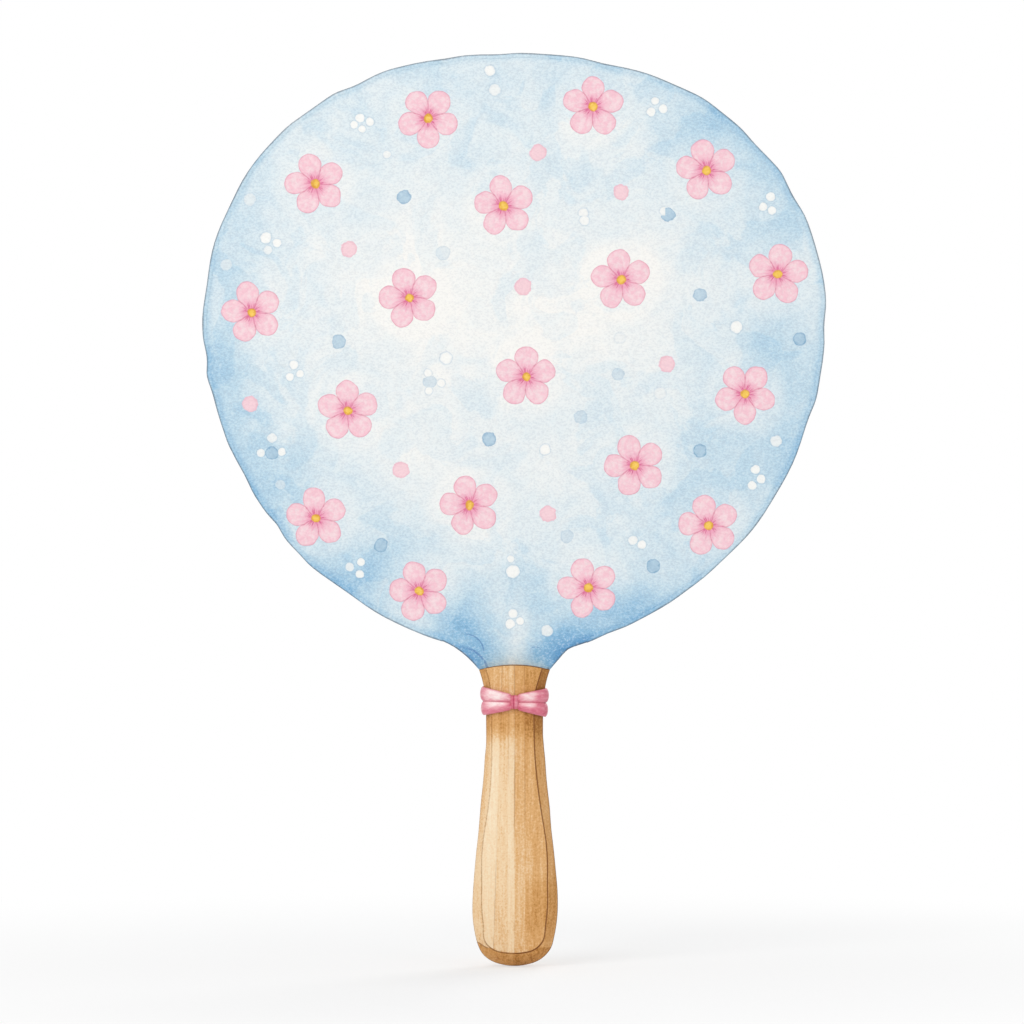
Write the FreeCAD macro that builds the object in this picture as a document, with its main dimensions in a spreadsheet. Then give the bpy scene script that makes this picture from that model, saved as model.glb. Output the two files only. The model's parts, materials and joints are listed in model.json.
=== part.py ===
import FreeCAD, Part
import math
import os

import Sketcher
from FreeCAD import Vector

# A round paper fan with an inserted wooden handle. Shaved bamboo ribs spread from a slot sawn in
# the handle's top, two sheets of paper sandwich them, a paper strip binds the rim, and a ribbon
# wound twice round the waist closes the slot's cheeks on the ribs' roots.
# Frame: origin at the middle of the grip, +Z up the handle to the blade, the front faces -Y.

SIZES = (
    # handle, carved from one piece of wood
    ("grip_to_top", 68.6, "grip middle up to the corners of the handle's top end"),
    ("top_crown", 1.6, "rise of the arched top end over its corners"),
    ("top_flare", 2.5, "how far each top corner stands out from the waist"),
    ("flare_length", 13.6, "top corners down to the start of the flare"),
    ("waist_width", 23.4, "width of the waist"),
    ("waist_length", 13.0, "straight length of the waist"),
    ("waist_thickness", 11.6, "depth of the waist and the top"),
    ("bulb_width", 35.0, "width at the fullest place"),
    ("bulb_thickness", 17.0, "depth at the fullest place"),
    ("bulb_below_grip", 25.0, "grip middle down to the fullest place"),
    ("bulb_to_butt", 24.8, "fullest place down to the butt"),
    ("bulb_turn_radius", 60.0, "front curve just below the fullest place"),
    ("shoulder_radius", 13.0, "front curve at the butt's corners"),
    ("butt_radius", 23.0, "front curve across the butt"),
    ("butt_side_radius", 90.0, "side curve from the fullest place to the butt"),
    ("ridge_angle", 2.6, "degrees that each half of the front and back leans from the middle"),
    ("arris_width", 3.2, "chamfer round the front and the back"),
    ("cheek_wall", 0.8, "least wall between the chamfer and the slot"),
    ("slot_depth", 24.0, "depth of the sawn slot below the top corners"),
    ("slot_clearance", 0.05, "room for glue on each side of the blade in the slot"),
    # blade, two sheets of paper cut to one outline
    ("blade_radius", 122.0, "mean radius of the blade"),
    ("blade_lift", 3.5, "how much further the blade reaches up than down"),
    ("blade_breadth", 2.2, "how much wider than tall the blade is"),
    ("blade_shoulders", 3.25, "fullness of the two upper shoulders"),
    ("blade_corners", 0.55, "fullness between the top and the sides"),
    ("edge_wave", 0.18, "depth of each wave of the hand-cut edge"),
    ("edge_slip", 1.0, "deepest slip of the scissors on the hand-cut edge"),
    ("neck_half_angle", 14.0, "degrees from straight down to where the round edge ends"),
    ("neck_rise", 10.86, "top corners up to the end of the round edge"),
    ("knee_width", 42.4, "width where the two sides of the neck turn outwards"),
    ("knee_rise", 8.4, "top corners up to that turn"),
    ("right_knee", 5.0, "how much sharper the right side turns than the left"),
    ("paper_thickness", 0.25, "one sheet of paper"),
    ("paper_above_floor", 8.0, "slot's floor up to the end of the paper"),
    ("tuck_margin", 0.9, "paper's edge in from the handle's side, inside the slot"),
    ("binding_width", 1.5, "rim strip on each face"),
    ("binding_thickness", 0.12, "rim strip's paper"),
    ("binding_clearance", 0.03, "paste between the rim strip and the sheets"),
    # ribs, shaved bamboo
    ("rib_count", 41, "number of ribs"),
    ("rib_thickness", 0.7, "depth of a rib"),
    ("rib_tip_width", 1.1, "width of a rib at the rim"),
    ("rib_gap", 0.12, "gap between two ribs in the slot"),
    ("rib_bend_radius", 8.0, "bend of the outermost rib above the slot"),
    ("rib_rim_gap", 1.2, "rib's tip in from the edge of the paper"),
    ("outer_sliver", 4.0, "widest place of the strip of paper below the outermost rib"),
    ("root_margin", 1.3, "outermost rib in from the waist's side"),
    ("root_clearance", 1.0, "ribs' ends above the floor of the slot"),
    # ribbon, wound twice round the waist and drawn in by a knot in front
    ("ribbon_drop", 12.8, "top corners down to the line between the two turns"),
    ("ribbon_band", 5.5, "height of one turn at the sides and the back"),
    ("ribbon_pinch", 1.8, "height of one turn under the knot"),
    ("ribbon_outer", 0.9, "puff of the ribbon away from the wood"),
    ("ribbon_inner", 0.5, "puff of the ribbon towards the wood"),
    ("ribbon_split", 0.5, "gap between the two turns"),
    ("ribbon_clearance", 0.2, "ribbon off the wood"),
    ("knot_width", 3.0, "width of the band that makes the knot"),
    ("knot_thickness", 0.6, "thickness of that band"),
    ("knot_round", 0.25, "rounding of that band's edges"),
    ("knot_clearance", 0.15, "knot off the ribbon and the wood"),
)

# Waves of the hand-cut edge: how many go round a full turn, and where each starts, in degrees.
EDGE_WAVES = ((7, -12), (9, -43), (13, 54), (22, -165))
# Slips of the scissors, outwards or inwards: place in degrees, share of the deepest, half width in degrees.
EDGE_SLIPS = (
    (-76, 0.95, 2.2), (-71, -0.3, 2), (-54, -0.6, 4), (-36, 0.6, 8), (-9, 0.8, 3), (5, -0.7, 2.5),
    (29, -1.0, 3), (34.5, 0.5, 2), (41, -0.5, 2.5), (53, 0.5, 3), (60, -0.6, 4), (73, -0.5, 3), (93, -0.7, 3),
    (100, 0.3, 2), (115, 0.5, 3), (121, -0.4, 2), (125, 0.4, 2), (135, 0.5, 3), (148, 0.4, 4),
    (168, -0.8, 5), (181, -0.5, 2), (184.5, 1.0, 2.5), (198, 0.5, 3), (205, -0.4, 2), (216, -0.7, 2),
    (223, -0.4, 2), (236, -0.5, 6),
)
EDGE_STEP = 2.0  # degrees between two points of the round edge
RIBBON_SQUARENESS = 4  # 2 winds the ribbon on an ellipse, more winds it nearer to a rectangle
RIBBON_STEP = 10.0  # degrees between two sections of the ribbon
RIBBON_FOLDS = (-1, -0.7, -0.25, 0.25, 0.7, 1)  # corners of its outer side, as shares of half its height
PUFF_SHARE = 0.4  # most that a narrow stretch of ribbon puffs out, as a share of its height
KNOT_COVER = 0.84  # share of the knot's width in which the ribbon drops from turn to turn
SAW_MARGIN = 3.0  # how far cutting outlines run past the wood

doc = FreeCAD.newDocument("paper_fan")
sheet = doc.addObject("Spreadsheet::Sheet", "sizes")
for row, (alias, number, meaning) in enumerate(SIZES, start=1):
    sheet.set(f"A{row}", meaning)
    sheet.set(f"B{row}", str(number))
    sheet.setAlias(f"B{row}", alias)
doc.recompute()


def size(alias):
    """A driving dimension, read from the spreadsheet."""
    return float(sheet.get(alias))


def flat(x, y):
    """A point of a sketch."""
    return Vector(x, y, 0)


def angle_of(vector):
    return math.degrees(math.atan2(vector.y, vector.x))


def arc_about(centre, radius, start, end):
    """Arc of a sketch that runs between two angles in degrees, through their middle."""
    angles = [math.radians(a) for a in (start, (start + end) / 2, end)]
    return Part.Arc(*[centre + radius * flat(math.cos(a), math.sin(a)) for a in angles])


def crossing(centre_a, radius_a, centre_b, radius_b):
    """Where two circles of a sketch cross, the lower of the two places."""
    across = centre_b - centre_a
    apart = across.Length
    along = (apart ** 2 + radius_a ** 2 - radius_b ** 2) / (2 * apart)
    off = math.sqrt(radius_a ** 2 - along ** 2)
    way = across / apart
    found = [centre_a + way * along + flat(-way.y, way.x) * side for side in (off, -off)]
    return min(found, key=lambda point: point.y)


def swell_turn(wide, tall):
    """Angle, in degrees, and radius of each of two equal arcs that swell by wide over tall."""
    turn = 2 * math.degrees(math.atan2(wide, tall))
    return turn, tall / (2 * math.sin(math.radians(turn)))


def swell_arcs(high, low):
    """Two equal tangent arcs from one upright direction to another, as a handle's flank swells."""
    turn, radius = swell_turn(low.x - high.x, high.y - low.y)
    upper = arc_about(high + flat(radius, 0), radius, 180, 180 + turn)
    lower = arc_about(low - flat(radius, 0), radius, turn, 0)
    return [upper, lower]


def new_body(label):
    body = doc.addObject("PartDesign::Body", label)
    body.Label = label
    return body


def plane_of(body, role):
    return next(f for f in body.Origin.OriginFeatures if f.Role == role)


def new_sketch(body, name, role, outline, offset=0.0):
    """Sketch on one of the body's own planes. Ends that meet are joined as coincident."""
    sketch = body.newObject("Sketcher::SketchObject", name)
    sketch.AttachmentSupport = [(plane_of(body, role), "")]
    sketch.MapMode = "FlatFace"
    sketch.AttachmentOffset = FreeCAD.Placement(Vector(0, 0, offset), FreeCAD.Rotation())
    sketch.addGeometry(outline, False)
    ends = [(g, end) for g in range(len(outline)) for end in (1, 2)]
    for i, (g, end) in enumerate(ends):
        for other, other_end in ends[i + 1:]:
            if other != g and sketch.getPoint(g, end).isEqual(sketch.getPoint(other, other_end), 1e-6):
                sketch.addConstraint(Sketcher.Constraint("Coincident", g, end, other, other_end))
    return sketch


def bind(sketch, name, constraint, cells):
    """Adds a named constraint whose value comes from cells of the sheet."""
    index = sketch.addConstraint(constraint)
    sketch.renameConstraint(index, name)
    sketch.setExpression(f"Constraints.{name}", cells)


def bind_place(sketch, name, kind, geometry, point, cells):
    """Ties the distance of an edge's end from the sketch's origin to cells, along X or along Y."""
    end = 1 if sketch.getPoint(geometry, 1).isEqual(point, 1e-6) else 2
    reach = point.x if kind == "DistanceX" else point.y
    bind(sketch, name, Sketcher.Constraint(kind, -1, 1, geometry, end, reach), cells)


def closed_lines(corners):
    return [Part.LineSegment(a, b) for a, b in zip(corners, corners[1:] + corners[:1])]


def pad(body, sketch, name, cells):
    feature = body.newObject("PartDesign::Pad", name)
    feature.Profile = sketch
    feature.Midplane = True
    feature.setExpression("Length", cells)
    return feature


def pocket_through(body, sketch, name):
    feature = body.newObject("PartDesign::Pocket", name)
    feature.Profile = sketch
    feature.Type = "ThroughAll"
    feature.Midplane = True
    return feature


# Handle

TOP = size("grip_to_top")
FLARE_START = TOP - size("flare_length")
WAIST_END = FLARE_START - size("waist_length")
FULLEST = -size("bulb_below_grip")
BUTT = FULLEST - size("bulb_to_butt")
WAIST_HALF = size("waist_width") / 2
TOP_HALF = WAIST_HALF + size("top_flare")
BULB_HALF = size("bulb_width") / 2
FLARE_RADIUS = (size("top_flare") ** 2 + size("flare_length") ** 2) / (2 * size("top_flare"))
RIDGE_SLOPE = math.tan(math.radians(size("ridge_angle")))
STACK_CELLS = "(sizes.rib_thickness + 2 * sizes.paper_thickness)"
SLOT_HALF = size("rib_thickness") / 2 + size("paper_thickness") + size("slot_clearance")
SLOT_FLOOR = TOP - size("slot_depth")


def handle_side(body, name, across):
    """Side profile of the handle at a distance from its middle plane, where the faces lean in."""
    lean = abs(across) * RIDGE_SLOPE
    high = TOP + size("top_crown") + SAW_MARGIN
    low = BUTT - SAW_MARGIN
    waist = size("waist_thickness") / 2 - lean
    bulb = size("bulb_thickness") / 2 - lean
    radius = size("butt_side_radius")
    foot = -math.degrees(math.asin((FULLEST - low) / radius))
    foot_half = bulb - radius + radius * math.cos(math.radians(foot))
    back = [
        Part.LineSegment(flat(waist, high), flat(waist, WAIST_END)),
        *swell_arcs(flat(waist, WAIST_END), flat(bulb, FULLEST)),
        arc_about(flat(bulb - radius, FULLEST), radius, 0, foot),
    ]
    front = [edge.copy() for edge in back]
    for edge in front:
        edge.mirror(Vector(), Vector(0, 1, 0))
    ends = [
        Part.LineSegment(flat(-waist, high), flat(waist, high)),
        Part.LineSegment(flat(-foot_half, low), flat(foot_half, low)),
    ]
    sketch = new_sketch(body, name, "YZ_Plane", back + front + ends, across)
    lean_cells = f"{abs(across)} * tan(sizes.ridge_angle * 1deg)"
    bind_place(sketch, "waist_half", "DistanceX", 0, flat(waist, WAIST_END),
               f"sizes.waist_thickness / 2 - {lean_cells}")
    bind_place(sketch, "bulb_half", "DistanceX", 2, flat(bulb, FULLEST),
               f"sizes.bulb_thickness / 2 - {lean_cells}")
    return sketch


def handle_waste(body, reach):
    """What is sawn away to the right of the handle's front outline."""
    corner = flat(TOP_HALF, TOP)
    flare = flat(WAIST_HALF, FLARE_START)
    waist = flat(WAIST_HALF, WAIST_END)
    fullest = flat(BULB_HALF, FULLEST)
    crown = size("top_crown")
    crown_radius = (TOP_HALF ** 2 + crown ** 2) / (2 * crown)
    crown_centre = flat(0, TOP + crown - crown_radius)
    flare_centre = flare + flat(FLARE_RADIUS, 0)
    turn, shoulder, butt = size("bulb_turn_radius"), size("shoulder_radius"), size("butt_radius")
    turn_centre = fullest - flat(turn, 0)
    butt_centre = flat(0, BUTT + butt)
    shoulder_centre = crossing(turn_centre, turn - shoulder, butt_centre, butt - shoulder)
    leaves_turn = angle_of(shoulder_centre - turn_centre)
    meets_butt = angle_of(shoulder_centre - butt_centre)
    outline = [
        arc_about(crown_centre, crown_radius, 90, angle_of(corner - crown_centre)),
        arc_about(flare_centre, FLARE_RADIUS, angle_of(corner - flare_centre), 180),
        Part.LineSegment(flare, waist),
        *swell_arcs(waist, fullest),
        arc_about(turn_centre, turn, 0, leaves_turn),
        arc_about(shoulder_centre, shoulder, leaves_turn, meets_butt),
        arc_about(butt_centre, butt, meets_butt, -90),
    ]
    above, below = TOP + crown + 2 * SAW_MARGIN, BUTT - 2 * SAW_MARGIN
    border = [flat(0, BUTT), flat(0, below), flat(reach, below), flat(reach, above), flat(0, above),
              flat(0, TOP + crown)]
    outline += [Part.LineSegment(a, b) for a, b in zip(border, border[1:])]
    sketch = new_sketch(body, "front_waste", "XZ_Plane", outline)
    bind_place(sketch, "top_half", "DistanceX", 0, corner, "sizes.waist_width / 2 + sizes.top_flare")
    bind_place(sketch, "top_height", "DistanceY", 0, corner, "sizes.grip_to_top")
    bind_place(sketch, "waist_half", "DistanceX", 2, flare, "sizes.waist_width / 2")
    bind_place(sketch, "bulb_half", "DistanceX", 4, fullest, "sizes.bulb_width / 2")
    bind_place(sketch, "bulb_height", "DistanceY", 4, fullest, "-sizes.bulb_below_grip")
    bind_place(sketch, "butt_height", "DistanceY", 7, flat(0, BUTT),
               "-sizes.bulb_below_grip - sizes.bulb_to_butt")
    return sketch


def arris_edges(shape):
    """Names of the edges round the front and the back, without the ridges and the top end."""
    names = []
    for number, edge in enumerate(shape.Edges, start=1):
        ends = [vertex.Point for vertex in edge.Vertexes]
        on_face = all(abs(p.y) > 2 * SLOT_HALF for p in ends)
        on_ridge = all(abs(p.x) < 1e-6 for p in ends)
        on_top = all(p.z > TOP - 1e-6 for p in ends)
        if on_face and not on_ridge and not on_top:
            names.append(f"Edge{number}")
    return names


def handle():
    """Side shape first, then the front outline sawn out, the slot cut and the arrises chamfered."""
    body = new_body("handle")
    reach = max(TOP_HALF, BULB_HALF) + SAW_MARGIN
    sides = [handle_side(body, f"side_{k}", x) for k, x in enumerate((-reach, 0, reach))]
    block = body.newObject("PartDesign::AdditiveLoft", "side_block")
    block.Profile = sides[0]
    block.Sections = sides[1:]
    block.Ruled = True
    doc.recompute()
    right = pocket_through(body, handle_waste(body, reach + SAW_MARGIN), "saw_right")
    doc.recompute()
    left = body.newObject("PartDesign::Mirrored", "saw_left")
    left.Originals = [right]
    left.MirrorPlane = (plane_of(body, "YZ_Plane"), [""])
    body.Tip = left
    doc.recompute()
    above = TOP + size("top_crown") + SAW_MARGIN
    corners = [flat(-SLOT_HALF, SLOT_FLOOR), flat(SLOT_HALF, SLOT_FLOOR), flat(SLOT_HALF, above),
               flat(-SLOT_HALF, above)]
    profile = new_sketch(body, "slot_profile", "YZ_Plane", closed_lines(corners))
    bind_place(profile, "slot_half", "DistanceX", 1, corners[1],
               f"{STACK_CELLS} / 2 + sizes.slot_clearance")
    bind_place(profile, "slot_floor", "DistanceY", 0, corners[0], "sizes.grip_to_top - sizes.slot_depth")
    slot = pocket_through(body, profile, "slot")
    doc.recompute()
    chamfer = body.newObject("PartDesign::Chamfer", "arrises")
    chamfer.Base = (slot, arris_edges(slot.Shape))
    side_half = f"(sizes.waist_thickness / 2 - {TOP_HALF} * tan(sizes.ridge_angle * 1deg))"
    wall = f"({STACK_CELLS} / 2 + sizes.slot_clearance + sizes.cheek_wall)"
    chamfer.setExpression("Size", f"min(sizes.arris_width; {side_half} - {wall})")
    return body


# Blade paper and its rim strip

EDGE_START = size("neck_half_angle") - 90
EDGE_END = 270 - size("neck_half_angle")


def edge_radius(angle):
    """Reach of the paper's round edge from the blade's centre, at an angle in degrees from +X."""
    turn = math.radians(angle)
    oval = size("blade_radius") + size("blade_lift") * math.sin(turn)
    oval += size("blade_breadth") * math.cos(2 * turn) + size("blade_shoulders") * math.sin(3 * turn)
    oval -= size("blade_corners") * math.cos(4 * turn)
    waves = sum(math.sin(count * turn + math.radians(start)) for count, start in EDGE_WAVES)
    slips = 0.0
    for place, share, half_width in EDGE_SLIPS:
        off = (angle - place + 180) % 360 - 180
        slips += share * math.exp(-(off / half_width) ** 2)
    return oval + size("edge_wave") * waves + size("edge_slip") * slips


BLADE_CENTRE = TOP + size("neck_rise") - edge_radius(EDGE_START) * math.sin(math.radians(EDGE_START))


def edge_point(angle, inset):
    turn = math.radians(angle)
    reach = edge_radius(angle) - inset
    return Vector(reach * math.cos(turn), 0, BLADE_CENTRE + reach * math.sin(turn))


def round_edge(inset):
    """The round edge from the right of the neck over the top to the left, or a line inside it."""
    steps = round((EDGE_END - EDGE_START) / EDGE_STEP)
    angles = [EDGE_START + (EDGE_END - EDGE_START) * k / steps for k in range(steps + 1)]
    curve = Part.BSplineCurve()
    curve.interpolate([edge_point(angle, inset) for angle in angles])
    return curve.toShape()


def neck_side(side, edge_end):
    """One side of the paper's neck, from the middle of its end in the slot up to the round edge."""
    def place(x, z):
        return Vector(side * x, 0, z)

    def beside_flare(z):
        inner = FLARE_RADIUS + size("tuck_margin")
        return place(WAIST_HALF + FLARE_RADIUS - math.sqrt(inner ** 2 - (z - FLARE_START) ** 2), z)

    bottom = SLOT_FLOOR + size("paper_above_floor")
    low = max(bottom, FLARE_START)
    flare = Part.Arc(beside_flare(low), beside_flare((low + TOP) / 2), beside_flare(TOP))
    corner = place(TOP_HALF, TOP)
    knee = Part.BezierCurve()
    knee.setPoles([corner, place(size("knee_width") / 2, TOP + size("knee_rise")), edge_end])
    if side > 0:
        knee.setWeight(2, size("right_knee"))
    stops = [place(0, bottom), place(beside_flare(low).x * side, bottom)]
    if bottom < low:
        stops.append(beside_flare(low))
    lines = [Part.makeLine(a, b) for a, b in zip(stops, stops[1:])]
    return lines + [flare.toShape(), Part.makeLine(beside_flare(TOP), corner), knee.toShape()]


def outline_object(name, edges):
    outline = doc.addObject("Part::Feature", name)
    outline.Shape = Part.Wire(Part.sortEdges(edges)[0])
    return outline


def extrude(name, outline, way, cells, symmetric=False):
    solid = doc.addObject("Part::Extrusion", name)
    solid.Label = name
    solid.Base = outline
    solid.DirMode = "Custom"
    solid.Dir = Vector(0, way, 0)
    solid.Solid = True
    solid.Symmetric = symmetric
    solid.setExpression("LengthFwd", cells)
    return solid


def papers():
    """The two sheets, cut alike, one on each side of the ribs."""
    sides = neck_side(1, edge_point(EDGE_START, 0)) + neck_side(-1, edge_point(EDGE_END, 0))
    outline = outline_object("blade_outline", [round_edge(0), *sides])
    sheets = []
    for name, way in (("front_paper", -1), ("back_paper", 1)):
        paper = extrude(name, outline, way, "sizes.paper_thickness")
        paper.setExpression("Placement.Base.y", f"{way} * sizes.rib_thickness / 2")
        sheets.append(paper)
    return sheets


def rim_sector(name, outer_inset, inner_inset):
    """The closed outline between two lines along the round edge."""
    ends = [
        Part.makeLine(edge_point(angle, outer_inset), edge_point(angle, inner_inset))
        for angle in (EDGE_START, EDGE_END)
    ]
    return outline_object(name, [round_edge(outer_inset), round_edge(inner_inset), *ends])


def edge_binding():
    """The strip folded over the rim: a flat band with the sheets' own thickness taken out of it."""
    clearance, thickness = size("binding_clearance"), size("binding_thickness")
    width = size("binding_width")
    inside = f"({STACK_CELLS} + 2 * sizes.binding_clearance)"
    band_outline = rim_sector("rim_band_outline", -clearance - thickness, width)
    core_outline = rim_sector("rim_core_outline", -clearance, 2 * width)
    binding = doc.addObject("Part::Cut", "edge_binding")
    binding.Label = "edge_binding"
    binding.Base = extrude("rim_band", band_outline, 1, f"{inside} + 2 * sizes.binding_thickness", True)
    binding.Tool = extrude("rim_core", core_outline, 1, inside, True)
    return binding


# Ribs

RIB_COUNT = int(size("rib_count"))
RIB_PITCH = 2 * (WAIST_HALF - size("root_margin")) / RIB_COUNT
RIB_HALF = (RIB_PITCH - size("rib_gap")) / 2
ROOT_CELLS = "(sizes.waist_width - 2 * sizes.root_margin) / sizes.rib_count - sizes.rib_gap"
OUTERMOST = (RIB_COUNT - 1) / 2
BEND_X = OUTERMOST * RIB_PITCH + size("rib_bend_radius")


def inside_edge(place, side):
    """How far a place of the blade lies inside its round edge, or its mirror image for a side of -1."""
    from_centre = flat(side * place.x, place.y - BLADE_CENTRE)
    return edge_radius(angle_of(from_centre)) - from_centre.Length


def solve(low, high, is_low):
    """The number between two others where a test that holds at the low one stops holding."""
    while high - low > 1e-4:
        middle = (low + high) / 2
        low, high = (middle, high) if is_low(middle) else (low, middle)
    return low


def bend_point(radius, turn):
    """A point on the shared bends to the right of the slot, after a turn in degrees from upright."""
    angle = math.radians(turn)
    return flat(BEND_X - radius * math.cos(angle), TOP + radius * math.sin(angle))


def run_point(radius, turn, length):
    """A point on a rib's straight run, at a length from the end of its bend."""
    angle = math.radians(turn)
    return bend_point(radius, turn) + flat(math.sin(angle), math.cos(angle)) * length


def widest_sliver(spread):
    """Widest place of the paper below the outermost rib, where that rib leans by spread degrees."""
    lengths = range(int(2 * size("blade_radius")))
    return max(inside_edge(run_point(size("rib_bend_radius"), spread, s), 1) for s in lengths)


RIB_SPREAD = solve(0, 90, lambda spread: widest_sliver(spread) > size("outer_sliver"))


def rib(number):
    """A rib stands in the slot, bends with its neighbours and runs straight and wider to the rim."""
    step = number - 1 - OUTERMOST
    turn = RIB_SPREAD * abs(step) / OUTERMOST
    bend = BEND_X - abs(step) * RIB_PITCH
    inner, outer = bend - RIB_HALF, bend + RIB_HALF
    side = -1 if step < 0 else 1
    length = solve(0, 3 * size("blade_radius"),
                   lambda reach: inside_edge(run_point(bend, turn, reach), side) > size("rib_rim_gap"))
    tip = run_point(bend, turn, length)
    angle = math.radians(turn)
    tip_half = flat(math.cos(angle), -math.sin(angle)) * size("rib_tip_width") / 2
    foot = SLOT_FLOOR + size("root_clearance")
    feet = [flat(bend_point(radius, 0).x, foot) for radius in (outer, inner)]
    outline = [
        Part.LineSegment(feet[0], feet[1]),
        Part.LineSegment(feet[1], bend_point(inner, 0)),
        Part.LineSegment(bend_point(inner, turn), tip + tip_half),
        Part.LineSegment(tip + tip_half, tip - tip_half),
        Part.LineSegment(tip - tip_half, bend_point(outer, turn)),
        Part.LineSegment(bend_point(outer, 0), feet[0]),
    ]
    if turn > 0:
        outline += [Part.Arc(*[bend_point(r, turn * k / 2) for k in range(3)]) for r in (inner, outer)]
    if side < 0:
        for edge in outline:
            edge.mirror(Vector(), Vector(0, 1, 0))
    body = new_body(f"rib_{number:02d}")
    sketch = new_sketch(body, f"rib_profile_{number:02d}", "XZ_Plane", outline)
    bind_place(sketch, "foot", "DistanceY", 0, outline[0].StartPoint,
               "sizes.grip_to_top - sizes.slot_depth + sizes.root_clearance")
    bind(sketch, "root_width", Sketcher.Constraint("Distance", 0, outline[0].length()), ROOT_CELLS)
    bind(sketch, "tip_width", Sketcher.Constraint("Distance", 3, outline[3].length()), "sizes.rib_tip_width")
    pad(body, sketch, f"rib_pad_{number:02d}", "sizes.rib_thickness")
    return body


# Ribbon and its knot

RIBBON_LEVEL = TOP - size("ribbon_drop")
RIBBON_REACH = size("ribbon_split") / 2 + size("ribbon_band")


def wood_half(waist_half, bulb_half, z):
    """Half the wood's width or depth at a height in the waist or the top of the swelling grip."""
    radius = swell_turn(bulb_half - waist_half, WAIST_END - FULLEST)[1]
    drop = max(0.0, WAIST_END - z)
    return waist_half + radius - math.copysign(math.sqrt(radius ** 2 - drop ** 2), radius)


def flare_half(z):
    """What the flare adds to half the width at a height."""
    rise = max(0.0, z - FLARE_START)
    return FLARE_RADIUS - math.sqrt(FLARE_RADIUS ** 2 - rise ** 2)


DEPTH_HALF = wood_half(size("waist_thickness") / 2, size("bulb_thickness") / 2, RIBBON_LEVEL - RIBBON_REACH)
WIDTH_HALF = max(flare_half(RIBBON_LEVEL + RIBBON_REACH) + WAIST_HALF,
                 wood_half(WAIST_HALF, BULB_HALF, RIBBON_LEVEL - RIBBON_REACH))
LOOP_X = WIDTH_HALF + size("ribbon_clearance") + size("ribbon_inner")
LOOP_Y = DEPTH_HALF + size("ribbon_clearance") + size("ribbon_inner")


def loop_place(angle):
    """Place and outward direction on the ribbon's loop, from the front over the right, in degrees."""
    turn = math.radians(angle)
    x, y = math.sin(turn), -math.cos(turn)
    power = RIBBON_SQUARENESS
    reach = (abs(x / LOOP_X) ** power + abs(y / LOOP_Y) ** power) ** (-1 / power)
    place = Vector(reach * x, reach * y, 0)
    slope_x = math.copysign(abs(place.x) ** (power - 1) / LOOP_X ** power, x)
    slope_y = math.copysign(abs(place.y) ** (power - 1) / LOOP_Y ** power, y)
    return place, Vector(slope_x, slope_y, 0).normalize()


def ribbon_section(angle, level):
    """Lens-shaped section of the ribbon in flats. Level is 1 in the upper turn, -1 in the lower one."""
    place, outward = loop_place(angle)
    under_knot = size("knot_width") / 2
    spread = max(0.0, abs(place.x) - under_knot) / (LOOP_X - under_knot) if place.y < 0 else 1.0
    height = size("ribbon_pinch") + spread * (size("ribbon_band") - size("ribbon_pinch"))
    middle = place + Vector(0, 0, RIBBON_LEVEL + level * (height + size("ribbon_split")) / 2)
    rise = Vector(0, 0, height / 2)
    outer = min(size("ribbon_outer"), PUFF_SHARE * height)
    inner = min(size("ribbon_inner"), PUFF_SHARE * height)
    corners = [middle + rise * share + outward * outer * (1 - share ** 2) for share in RIBBON_FOLDS]
    corners.append(middle - outward * inner)
    return Part.makePolygon(corners + corners[:1])


def least_gap(sections, turn_steps):
    """Least distance between points of sections that lie at least half a turn apart on the ribbon."""
    rings = [section.discretize(Number=16) for section in sections]
    gaps = []
    for i, ring in enumerate(rings):
        for other in rings[i + turn_steps // 2:]:
            gaps.append(min(a.distanceToPoint(b) for a in ring for b in other))
    return min(gaps)


def ribbon():
    """One ribbon: it starts under the knot, goes round, drops under the knot and goes round again."""
    cover = math.degrees(math.asin(KNOT_COVER * size("knot_width") / 2 / LOOP_Y))
    steps = round((360 - 2 * cover) / RIBBON_STEP)
    turn = [cover + (360 - 2 * cover) * k / steps for k in range(steps + 1)]
    tuck = cover / 2
    upper = [(turn[0] + tuck, 1)] + [(angle, 1) for angle in turn[1:]]
    lower = [(angle, -1) for angle in turn[:-1]] + [(turn[-1] - tuck, -1)]
    sections = [ribbon_section(angle, level) for angle, level in upper + [(360, 0)] + lower]
    print("ribbon's least gap to itself, mm:", round(least_gap(sections, steps), 2))
    feature = doc.addObject("Part::Feature", "ribbon")
    feature.Label = "ribbon"
    feature.Shape = Part.makeLoft(sections, True, True)
    return feature


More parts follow.
